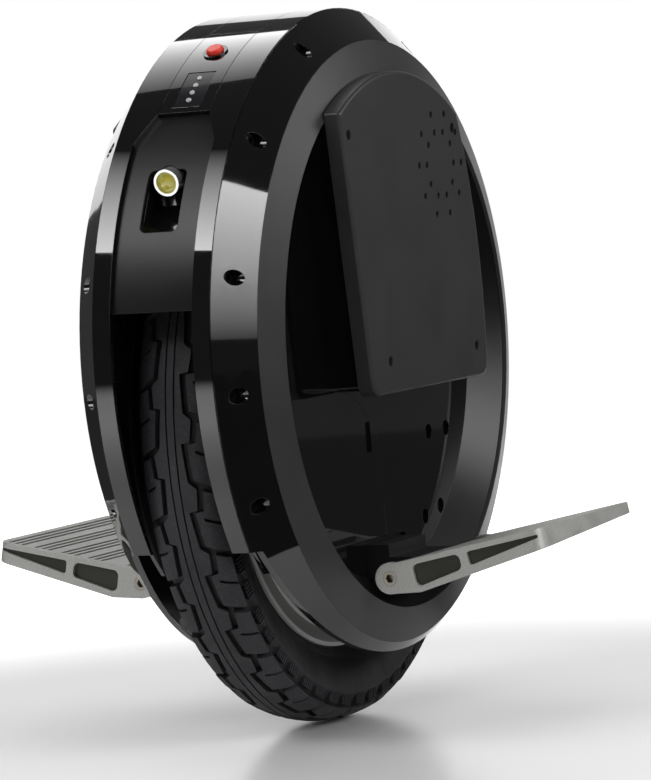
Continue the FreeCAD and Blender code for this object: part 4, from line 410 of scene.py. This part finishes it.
def put_mesh(name: str, points: np.ndarray, quads: np.ndarray, sharp_deg: float = 180.0) -> bpy.types.Object:
    """Fill a mesh from arrays.

    Args:
        name: the object's name.
        points: rows of x, y, z in millimetres.
        quads: rows of four vertex numbers.
        sharp_deg: faces that meet at more than this angle keep a crisp edge; the rest are shaded smoothly.

    Returns:
        The object, at the origin, in metres.
    """
    mesh = bpy.data.meshes.new(name)
    mesh.vertices.add(len(points))
    mesh.vertices.foreach_set("co", (points * MM).astype(np.float32).ravel())
    mesh.loops.add(quads.size)
    mesh.loops.foreach_set("vertex_index", quads.astype(np.int32).ravel())
    mesh.polygons.add(len(quads))
    mesh.polygons.foreach_set("loop_start", np.arange(0, quads.size, 4, dtype=np.int32))
    mesh.polygons.foreach_set("use_smooth", np.full(len(quads), True))
    mesh.update(calc_edges=True)
    mesh.validate()
    mesh.set_sharp_from_angle(angle=math.radians(sharp_deg))
    made = bpy.data.objects.new(name, mesh)
    bpy.context.scene.collection.objects.link(made)
    return made


def grid_quads(rows: int, columns: int, wrap: bool = False) -> np.ndarray:
    """Quads of a grid of points stored row by row.

    Args:
        rows: points along the first parameter.
        columns: points along the second.
        wrap: join the last row to the first.

    Returns:
        Rows of four vertex numbers.
    """
    i = np.arange(rows if wrap else rows - 1)[:, None]
    j = np.arange(columns - 1)[None, :]
    after = (i + 1) % rows
    corners = [i * columns + j, after * columns + j, after * columns + j + 1, i * columns + j + 1]
    return np.stack(np.broadcast_arrays(*corners), -1).reshape(-1, 4)


@dataclass
class Wheel:
    """The wheel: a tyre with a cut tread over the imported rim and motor. Sizes in millimetres."""

    axle_z: float = 184.0
    radius: float = 184.0
    tread_half: float = 21.0
    tread_drop: float = 5.2
    shoulder: Tuple[float, float] = (25.6, 172.5)
    side: Tuple[float, float] = (21.6, 156.0)
    foot: Tuple[float, float] = (10.9, 140.0)
    bead: float = 127.1
    groove_depth: float = 3.4
    root: float = 0.3
    turns: int = 264
    tread_reach: float = 36.0
    tread_fade: float = 5.0
    ridge_places: Tuple[float, float] = (41.0, 58.0)
    ridge_height: float = 0.35
    ridge_half: float = 0.9
    # Share of the paler tone on the tyre's sides; the rest is painted shade
    side_painted_light: float = 0.7
    pitches: int = 29
    saw_share: Tuple[float, ...] = (0.0, 0.56, 0.66, 0.97, 1.0)
    saw_mm: Tuple[float, ...] = (6.2, 8.1, 12.7, 11.3, 6.2)
    cut_place: float = 2.6
    cut_half: float = 0.5
    cut_depth: float = 1.2
    block_start: Tuple[float, float] = (0.68, 0.77)
    block_end: Tuple[float, float] = (1.54, 1.70)
    block_share: Tuple[float, ...] = (0.68, 1.0, 1.03, 1.54)
    block_inner: Tuple[float, ...] = (15.8, 14.4, 9.4, 11.3)
    tread_edge: float = 25.0
    slit_place: float = 0.505
    slit_half: float = 0.02
    slit_from: float = 0.29
    slit_depth: float = 2.55
    hook_share: float = 0.05
    hook_spread: float = 0.12
    ladder_bars: int = 5
    ladder_step: float = 2.5
    ladder_bar: float = 1.4
    ladder_top: float = -0.3
    ladder_places: Tuple[float, float] = (0.0, 0.4675)
    ladder_across: Tuple[float, float] = (26.4, 35.2)

    def pitch(self) -> float:
        """Length of one repeat of the tread round the crown."""
        return 2 * math.pi * self.radius / self.pitches

    def arc(self, a: Sequence[float], b: Sequence[float], c: Sequence[float], count: int) -> np.ndarray:
        """Points on the circle through three points, from the first to the last.

        Args:
            a: first (x, radius) point.
            b: a point between.
            c: last point.
            count: number of points.

        Returns:
            Rows of x and radius.
        """
        pa, pb, pc = np.array(a, float), np.array(b, float), np.array(c, float)
        lhs = 2 * np.array([pb - pa, pc - pa])
        rhs = np.array([pb @ pb - pa @ pa, pc @ pc - pa @ pa])
        centre = np.linalg.solve(lhs, rhs)
        start, end = (math.atan2(*(p - centre)[::-1]) for p in (pa, pc))
        angle = np.linspace(start, end, count)
        return centre + np.linalg.norm(pa - centre) * np.stack([np.cos(angle), np.sin(angle)], -1)

    def outline(self) -> np.ndarray:
        """The tyre's outer half line: crown arc, straight shoulder, side arc, then down to the bead.

        Returns:
            Rows of x and radius, from the crown to the bead.
        """
        edge = (self.tread_half, self.radius - self.tread_drop)
        crown = self.arc((-edge[0], edge[1]), (0.0, self.radius), edge, 61)[30:]
        shoulder = np.linspace(edge, self.shoulder, 8)[1:]
        side = self.arc(self.shoulder, self.side, self.foot, 40)[1:]
        bead = np.linspace(self.foot, (self.foot[0], self.bead), 6)[1:]
        return np.concatenate([crown, shoulder, side, bead])

    def surface(self, along: np.ndarray, across: np.ndarray, height: np.ndarray) -> np.ndarray:
        """Place points on the tyre: along the tread, across it by arc length, and out of its skin.

        Args:
            along: millimetres round the crown.
            across: signed millimetres from the crown over the skin.
            height: millimetres outwards.

        Returns:
            Points with x, y, z in the last axis.
        """
        line = self.outline()
        length = np.concatenate([[0.0], np.cumsum(np.linalg.norm(np.diff(line, axis=0), axis=1))])
        slope = np.gradient(line, length, axis=0)
        smooth = np.exp(-0.5 * (np.arange(-4, 5) / 2.0) ** 2)
        padded = np.pad(slope, ((4, 4), (0, 0)), mode="edge")
        slope = np.stack([np.convolve(padded[:, k], smooth / smooth.sum(), "valid") for k in (0, 1)], -1)
        slope /= np.linalg.norm(slope, axis=1, keepdims=True)
        reach, sign = np.abs(across), np.sign(across)
        x = np.interp(reach, length, line[:, 0]) - height * np.interp(reach, length, slope[:, 1])
        r = np.interp(reach, length, line[:, 1]) + height * np.interp(reach, length, slope[:, 0])
        angle = along / self.radius
        return np.stack([sign * x, -r * np.cos(angle), self.axle_z + r * np.sin(angle)], -1)

    def carcass(self) -> Strip:
        """The skin: the outer line turned about the axle, lowered on the tread by the groove depth.

        Returns:
            The strip, its tread floor darkened as painted shade and its sides mostly in the paler tone.
        """
        total = float(np.linalg.norm(np.diff(self.outline(), axis=0), axis=1).sum())
        half = np.concatenate([np.linspace(0.0, 38.0, 26), np.linspace(39.5, total, 36)])
        across = np.concatenate([-half[:0:-1], half])
        fade = np.clip((self.tread_reach - np.abs(across)) / self.tread_fade, 0.0, 1.0)
        offset = (np.abs(across)[:, None] - np.array(self.ridge_places)) / self.ridge_half
        ridges = self.ridge_height * np.exp(-offset ** 2).sum(1)
        height = ridges - self.groove_depth * fade * fade * (3 - 2 * fade)
        along = np.arange(self.turns) * (2 * math.pi * self.radius / self.turns)
        points = self.surface(along[:, None] + 0 * across[None], across[None] + 0 * along[:, None],
                              height[None] + 0 * along[:, None])
        # Painted shade on the tread's floor; the sides keep most of the paler tone
        painted_light_share = np.tile(self.side_painted_light * (1 - fade), self.turns)
        return points.reshape(-1, 3), grid_quads(self.turns, len(across), wrap=True)[:, ::-1], painted_light_share

    def rib_edge(self, share: np.ndarray) -> np.ndarray:
        """Half width of the middle rib: a saw-tooth that creeps out, kicks out, and steps back once a pitch.

        Args:
            share: place round the tyre in pitches.

        Returns:
            Millimetres from the crown to the rib's edge.
        """
        return np.interp(share % 1.0, self.saw_share, self.saw_mm)

    def rib(self) -> Strip:
        """The middle rib: a band with two fine cuts, its edges saw-toothed half a pitch apart.

        Returns:
            The strip.
        """
        breaks = np.array(self.saw_share[:-1])
        steps = np.sort(np.concatenate([breaks, (breaks + 0.5) % 1.0]))
        share = (np.arange(self.pitches)[:, None] + steps[None]).ravel()
        right, left = self.rib_edge(share), -self.rib_edge(share + 0.5)
        cut = np.array([-1.0, -0.8, 0.8, 1.0]) * self.cut_half
        inner = np.concatenate([cut - self.cut_place, [0.0], cut + self.cut_place])
        across = np.concatenate([left[:, None], left[:, None] + 0.25, np.tile(inner, (len(share), 1)),
                                 right[:, None] - 0.25, right[:, None]], axis=1)
        foot, fine = -self.groove_depth - self.root, -self.cut_depth
        height = np.array([foot, 0.0, 0.0, fine, fine, 0.0, 0.0, 0.0, fine, fine, 0.0, 0.0, foot])
        along = -share * self.pitch()
        points = self.surface(along[:, None] + 0 * across, across, height[None] + 0 * across)
        # Painted shade in the cuts and on the walls; the tops keep the paler tone
        painted_light_share = np.tile(height == 0.0, len(share)).astype(float)
        return points.reshape(-1, 3), grid_quads(len(share), len(height), wrap=True), painted_light_share

    def side_blocks(self) -> Strip:
        """The side blocks: one a pitch on each side, between slanted grooves, with a slit from the outer end.

        A block runs from its slanted start to its slanted end by s and from the rib's groove to the shoulder
        by t. Its outermost ring is lowered to make walls, and so are the points in the slit.

        Returns:
            The strip.
        """
        s_steps = np.array([0.0, 0.018, 0.19, 0.372, 0.407, 0.478, 0.488, 0.522, 0.532, 0.76, 0.982, 1.0])
        t_steps = np.array([0.0, 0.02, 0.16, 0.28, 0.30, 0.64, 0.98, 1.0])
        s, t = np.meshgrid(s_steps, t_steps, indexing="ij")
        start = self.block_start[0] + (self.block_start[1] - self.block_start[0]) * t
        end = self.block_end[0] + (self.block_end[1] - self.block_end[0]) * t
        # The slit hooks back as it runs in from the shoulder
        hook = self.hook_share * (1 - t) * np.exp(-((s - self.slit_place) / self.hook_spread) ** 2)
        share = start + (end - start) * (s - hook)
        foot = self.block_start[0] + (self.block_end[0] - self.block_start[0]) * s
        inner = np.interp(foot, self.block_share, self.block_inner)
        across = inner + (self.tread_edge - inner) * t
        slit = (np.abs(s - self.slit_place) < self.slit_half) & (t > self.slit_from)
        wall = (s == 0) | (s == 1) | (t == 0) | (t == 1)
        height = np.where(wall, -self.groove_depth - self.root, np.where(slit, -self.slit_depth, 0.0))
        turn = np.arange(self.pitches)[:, None, None]
        across, height = across[None] + 0 * turn, height[None] + 0 * turn
        right = self.surface(-(share[None] + turn) * self.pitch(), across, height)
        left = self.surface(-(share[None] + turn + 0.5) * self.pitch(), -across, height)
        one = grid_quads(len(s_steps), len(t_steps))
        quads = (one[None] + (np.arange(2 * self.pitches) * s.size)[:, None, None]).reshape(-1, 4)
        half = len(quads) // 2
        quads[half:] = quads[half:, ::-1]
        # Painted shade in the slits and on the walls; the tops keep the paler tone
        painted_light_share = np.tile((height == 0.0).ravel(), 2).astype(float)
        return np.concatenate([right.reshape(-1, 3), left.reshape(-1, 3)]), quads, painted_light_share

    def ladders(self) -> Strip:
        """Short ribs on the shoulders: two groups of bars a pitch, each a small patch with a lowered ring.

        Returns:
            The strip.
        """
        steps = np.array([0.0, 0.12, 0.88, 1.0])
        s, t = np.meshgrid(steps, steps, indexing="ij")
        bars = (np.arange(self.ladder_bars) - (self.ladder_bars - 1) / 2) * self.ladder_step / self.pitch()
        place = (np.arange(self.pitches)[:, None, None] + np.array(self.ladder_places)[None, :, None]
                 + bars[None, None]).reshape(-1, 1, 1)
        share = place + (s - 0.5)[None] * self.ladder_bar / self.pitch()
        low, high = self.ladder_across
        across = (low + (high - low) * t)[None] + 0 * place
        wall = (s == 0) | (s == 1) | (t == 0) | (t == 1)
        height = np.where(wall, -self.groove_depth - self.root, self.ladder_top)[None] + 0 * place
        right = self.surface(-share * self.pitch(), across, height)
        left = self.surface(-(share + 0.5) * self.pitch(), -across, height)
        one = grid_quads(4, 4)
        quads = (one[None] + (np.arange(2 * len(place)) * 16)[:, None, None]).reshape(-1, 4)
        half = len(quads) // 2
        quads[half:] = quads[half:, ::-1]
        # Painted shade on the bars' walls; their tops keep the paler tone
        painted_light_share = np.tile((height == self.ladder_top).ravel(), 2).astype(float)
        return np.concatenate([right.reshape(-1, 3), left.reshape(-1, 3)]), quads, painted_light_share

    def build(self) -> bpy.types.Object:
        """Make the tyre as one piece on the wheel.

        Returns:
            The tyre.
        """
        parts = [self.carcass(), self.rib(), self.side_blocks(), self.ladders()]
        offsets = np.cumsum([0] + [len(points) for points, _, _ in parts[:-1]])
        points = np.concatenate([points for points, _, _ in parts])
        quads = np.concatenate([quads + start for (_, quads, _), start in zip(parts, offsets)])
        tyre = put_mesh("tyre_tread", points, quads, sharp_deg=32.0)
        # Each point's share of painted light, read by the rubber's colour; the rest is painted shade
        painted_light_share = tyre.data.attributes.new("painted_light_share", "FLOAT", "POINT")
        painted_light_share.data.foreach_set("value", np.concatenate([share for _, _, share in parts]).astype(np.float32))
        tyre.data.materials.append(TYRE_RUBBER.build())
        return tyre


@dataclass
class Dressing:
    """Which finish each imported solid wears."""

    finishes: Dict[Finish, str] = field(default_factory=lambda: {
        PIANO_BLACK: "left_frame_half right_frame_half control_panel rear_panel carry_handle "
                     "left_access_cover right_access_cover",
        COVER_BLACK: "left_side_cover right_side_cover",
        SATIN_BLACK: "left_bezel_ring right_bezel_ring left_side_plate right_side_plate",
        SATIN_COVER: "front_cover rear_cover",
        GLOSS_POCKET: "headlight_housing button_collar",
        INNER_BLACK: "wheel_arch top_bridge handle_tray power_switch speaker charge_socket inner_tube "
                     "plate_screws",
        CAST_ALUMINIUM: "left_pedal right_pedal heat_sink",
        RIM_ALUMINIUM: "left_motor_lid right_motor_lid",
        RIM_WITH_PAINTED_LIGHT: "rim",
        BLACK_CASTING: "left_pedal_bracket right_pedal_bracket axle_clamps",
        BLACK_STEEL: "cover_screws floor_bolts clamp_screws motor_lid_screws",
        GROUND_STEEL: "axle wheel_bearings rotor_ring hinge_pins valve_stem magnets",
        BRIGHT_CHROME: "headlight_ring",
        LAMP_PHOSPHOR: "headlight_lens",
        SMOKED_WINDOW: "indicator_window",
        CLEAR_LED: "indicator_lamps headlight_base",
        RED_BUTTON: "power_button",
        RED_LENS: "tail_light",
        COPPER: "stator_coils",
        LAMINATION: "stator_core",
        PACK_WRAP: "left_battery right_battery capacitors",
        BOARD_GREEN: "control_board",
    })

    def apply(self) -> None:
        """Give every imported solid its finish."""
        for finish, names in self.finishes.items():
            material = finish.build()
            for name in names.split():
                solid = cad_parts[name]
                solid.data.materials.clear()
                solid.data.materials.append(material)
                log.info("%s wears %s", name, finish.name)


@dataclass
class Softbox:
    """A lit panel with round corners, seen in reflections and not by the camera."""

    name: str
    towards: Tuple[float, float, float]
    distance: float
    width: float
    height: float
    low: float
    high: float
    mirrored: bool = True
    aim: Tuple[float, float, float] = (0.0, 0.0, 0.25)
    round_share: float = 0.12

    def build(self) -> bpy.types.Object:
        """Make the panel: a rectangle with its corners squeezed in, its light going upwards from `low` to `high`.

        Returns:
            The panel.
        """
        out = Vector(self.towards).normalized()
        side = Vector((0.0, 0.0, 1.0)).cross(out)
        side = side.normalized() if side.length > 1e-4 else Vector((1.0, 0.0, 0.0))
        up = out.cross(side)
        centre = Vector(self.aim) + out * self.distance
        steps = np.linspace(-1.0, 1.0, 33)
        a, b = np.meshgrid(steps, steps, indexing="ij")
        corner = self.round_share * (np.abs(a * b) ** 6)
        x = a * (1 - corner) * self.width / 2
        y = b * (1 - corner) * self.height / 2
        points = np.array(centre) + x[..., None] * np.array(side) + y[..., None] * np.array(up)
        panel = put_mesh(self.name, points.reshape(-1, 3) / MM, grid_quads(33, 33))
        uv = panel.data.uv_layers.new(name="UVMap")
        index = np.zeros(len(panel.data.loops), np.int32)
        panel.data.loops.foreach_get("vertex_index", index)
        flat = np.stack([(a.ravel() + 1) / 2, (b.ravel() + 1) / 2], -1)[index]
        uv.data.foreach_set("uv", flat.astype(np.float32).ravel())
        material, tree = empty_material(self.name + "_cloth")
        spot = add_node(tree, "ShaderNodeUVMap", uv_map="UVMap")
        split = add_node(tree, "ShaderNodeSeparateXYZ", {0: spot.outputs["UV"]})
        level = add_node(tree, "ShaderNodeMapRange", {"Value": split.outputs["Y"], "To Min": self.low,
                                                      "To Max": self.high})
        light = add_node(tree, "ShaderNodeEmission", {"Strength": level.outputs["Result"]})
        add_node(tree, "ShaderNodeOutputMaterial", {"Surface": light.outputs["Emission"]})
        panel.data.materials.append(material)
        panel.visible_camera = False
        panel.visible_glossy = self.mirrored
        return panel


@dataclass
class Studio:
    """White surroundings, a pale floor, lit panels and the camera of the photograph."""

    camera_mm: Tuple[float, float, float] = (1072.7, -2229.1, 348.1)
    right: Tuple[float, float, float] = (0.9024, 0.4252, -0.0696)
    up: Tuple[float, float, float] = (0.0371, 0.0843, 0.9958)
    back: Tuple[float, float, float] = (0.4293, -0.9012, 0.0602)
    lens_mm: float = 189.5
    floor_reach: float = 2.4
    floor_white: Tuple[float, float] = (0.32, 0.8)
    floor_fade: Tuple[float, float] = (1.2, 2.2)
    room_reach: float = 4.5
    room_level: float = 0.06
    backdrop_half_angle: float = 30.0
    cloth_reach: Tuple[float, float] = (0.22, 2.4)
    cloth_turns: Tuple[Tuple[float, float], ...] = ((-75.0, 80.0), (118.0, 178.0))
    panels: Tuple[Softbox, ...] = (
        Softbox("panel_front_left", (-0.428, -0.547, 0.719), 2.2, 1.3, 1.15, 7.5, 0.0),
        Softbox("panel_right", (0.891, -0.289, 0.350), 2.2, 1.7, 1.39, 0.5, 7.0),
        Softbox("panel_back_left", (-0.45, 0.42, 0.79), 2.2, 1.3, 0.9, 3.0, 0.6),
        Softbox("panel_back_right", (0.711, 0.574, 0.407), 2.2, 1.0, 1.25, 2.0, 2.0),
        Softbox("panel_top", (0.05, 0.1, 0.99), 2.4, 2.0, 1.6, 1.3, 1.3, mirrored=False),
    )

    def seen(self, tree: bpy.types.NodeTree) -> bpy.types.NodeSocket:
        """One for rays of the camera, mirrors and clear pieces, zero for rays that carry light.

        Args:
            tree: the material's or world's nodes.

        Returns:
            The share.
        """
        path = add_node(tree, "ShaderNodeLightPath")
        shine = add_node(tree, "ShaderNodeMath", {0: path.outputs["Is Glossy Ray"],
                                                  1: path.outputs["Is Transmission Ray"]},
                         operation="MAXIMUM")
        return add_node(tree, "ShaderNodeMath", {0: path.outputs["Is Camera Ray"], 1: shine.outputs[0]},
                        operation="MAXIMUM").outputs[0]

    def world(self) -> None:
        """White backdrop for the camera, mirrors and clear pieces, and a dim fill for the rest."""
        world = bpy.data.worlds.new("white_surroundings")
        bpy.context.scene.world = world
        world.use_nodes = True
        tree = world.node_tree
        tree.nodes.clear()
        level = add_node(tree, "ShaderNodeMapRange", {"Value": self.seen(tree), "To Min": 0.2, "To Max": 1.0})
        sky = add_node(tree, "ShaderNodeBackground", {"Color": (1, 1, 1, 1),
                                                      "Strength": level.outputs["Result"]})
        add_node(tree, "ShaderNodeOutputWorld", {"Surface": sky.outputs["Background"]})

    def floor(self) -> None:
        """A pale, slightly shiny disc that takes the shadow and fades out to the white surroundings."""
        steps, turns = 24, 96
        reach = np.linspace(0.001, self.floor_reach, steps)
        angle = np.arange(turns) * (2 * math.pi / turns)
        x = np.cos(angle)[:, None] * reach[None]
        y = np.sin(angle)[:, None] * reach[None]
        points = np.stack([x, y, 0 * x - 0.0002], -1).reshape(-1, 3)
        floor = put_mesh("studio_floor", points / MM, grid_quads(turns, steps, wrap=True)[:, ::-1])
        material, tree = empty_material("pale_floor")
        place = add_node(tree, "ShaderNodeTexCoord").outputs["Object"]
        far = add_node(tree, "ShaderNodeVectorMath", {0: place}, operation="LENGTH").outputs["Value"]
        white = add_node(tree, "ShaderNodeMapRange", {"Value": far, "From Min": self.floor_white[0],
                                                      "From Max": self.floor_white[1]},
                         interpolation_type="SMOOTHSTEP").outputs["Result"]
        fade = add_node(tree, "ShaderNodeMapRange", {"Value": far, "From Min": self.floor_fade[0],
                                                     "From Max": self.floor_fade[1]},
                        interpolation_type="SMOOTHSTEP").outputs["Result"]
        glow = add_node(tree, "ShaderNodeMath", {0: white, 1: self.seen(tree)},
                        operation="MULTIPLY").outputs[0]
        paint = add_node(tree, "ShaderNodeBsdfPrincipled", {
            "Base Color": linear("#f0f0f0"), "Roughness": 0.2, "IOR": 1.35,
            "Emission Color": (1.0, 1.0, 1.0, 1.0), "Emission Strength": glow})
        clear = add_node(tree, "ShaderNodeBsdfTransparent")
        mix = add_node(tree, "ShaderNodeMixShader", {0: fade, 1: paint.outputs["BSDF"],
                                                     2: clear.outputs["BSDF"]})
        add_node(tree, "ShaderNodeOutputMaterial", {"Surface": mix.outputs["Shader"]})
        floor.data.materials.append(material)

    def room(self) -> None:
        """The dark room before the white backdrop: a sphere, open towards the backdrop, that mirrors see."""
        rows, turns = 40, 80
        away = -Vector(self.back).normalized()
        side = away.orthogonal().normalized()
        lift = away.cross(side)
        tilt = np.linspace(math.radians(self.backdrop_half_angle), math.pi - 0.001, rows)
        angle = np.arange(turns) * (2 * math.pi / turns)
        across = np.sin(tilt)[None, :, None] * (np.cos(angle)[:, None, None] * np.array(side)
                                                + np.sin(angle)[:, None, None] * np.array(lift))
        points = self.room_reach * (across + np.cos(tilt)[None, :, None] * np.array(away))
        room = put_mesh("dark_room", points.reshape(-1, 3) / MM, grid_quads(turns, rows, wrap=True))
        self.hang(room, self.room_level)

    def hang(self, screen: bpy.types.Object, level: float) -> None:
        """Make a screen of dark cloth that only mirrors see, and only from the side that its faces point to.

        Args:
            screen: the screen.
            level: how much light the cloth gives back.
        """
        material, tree = empty_material(screen.name + "_cloth")
        cloth = add_node(tree, "ShaderNodeEmission", {"Color": linear("#ffffff"), "Strength": level})
        clear = add_node(tree, "ShaderNodeBsdfTransparent")
        behind = add_node(tree, "ShaderNodeNewGeometry").outputs["Backfacing"]
        mix = add_node(tree, "ShaderNodeMixShader", {0: behind, 1: cloth.outputs["Emission"],
                                                     2: clear.outputs["BSDF"]})
        add_node(tree, "ShaderNodeOutputMaterial", {"Surface": mix.outputs["Shader"]})
        screen.data.materials.append(material)
        for kind in ("camera", "diffuse", "transmission", "volume_scatter", "shadow"):
            setattr(screen, "visible_" + kind, False)

    def floor_cloth(self) -> None:
        """Dark cloths on the floor beside the machine, parts of a ring, so that its sides mirror no floor."""
        reach = np.linspace(*self.cloth_reach, 12)[None]
        for number, turn in enumerate(self.cloth_turns):
            angle = np.radians(np.linspace(*turn, 48))[:, None]
            points = np.stack([np.cos(angle) * reach, np.sin(angle) * reach, 0 * angle * reach + MM], -1)
            cloth = put_mesh(f"floor_cloth_{number}", points.reshape(-1, 3) / MM, grid_quads(48, 12)[:, ::-1])
            self.hang(cloth, self.room_level / 2)

    def camera(self) -> None:
        """The camera worked out from the shell's circles."""
        data = bpy.data.cameras.new("photo_camera")
        data.lens = self.lens_mm
        data.sensor_width = 36.0
        data.clip_end = 100.0
        made = bpy.data.objects.new("photo_camera", data)
        axes = Matrix((self.right, self.up, self.back)).transposed().to_4x4()
        made.matrix_world = Matrix.Translation(Vector(self.camera_mm) * MM) @ axes
        bpy.context.scene.collection.objects.link(made)
        bpy.context.scene.camera = made

    def build(self) -> None:
        """Set the studio up."""
        bpy.context.scene.view_settings.view_transform = "Standard"
        self.world()
        self.floor()
        self.room()
        self.floor_cloth()
        for panel in self.panels:
            panel.build()
        self.camera()


def main() -> None:
    """Dress the solids, make the tyre and set up the studio."""
    logging.basicConfig(level=logging.INFO)
    Dressing().apply()
    tyre = Wheel().build()
    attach(tyre, "wheel")
    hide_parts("tyre")
    log.info("tyre has %d faces", len(tyre.data.polygons))
    Studio().build()


if __name__ == "__main__":
    main()
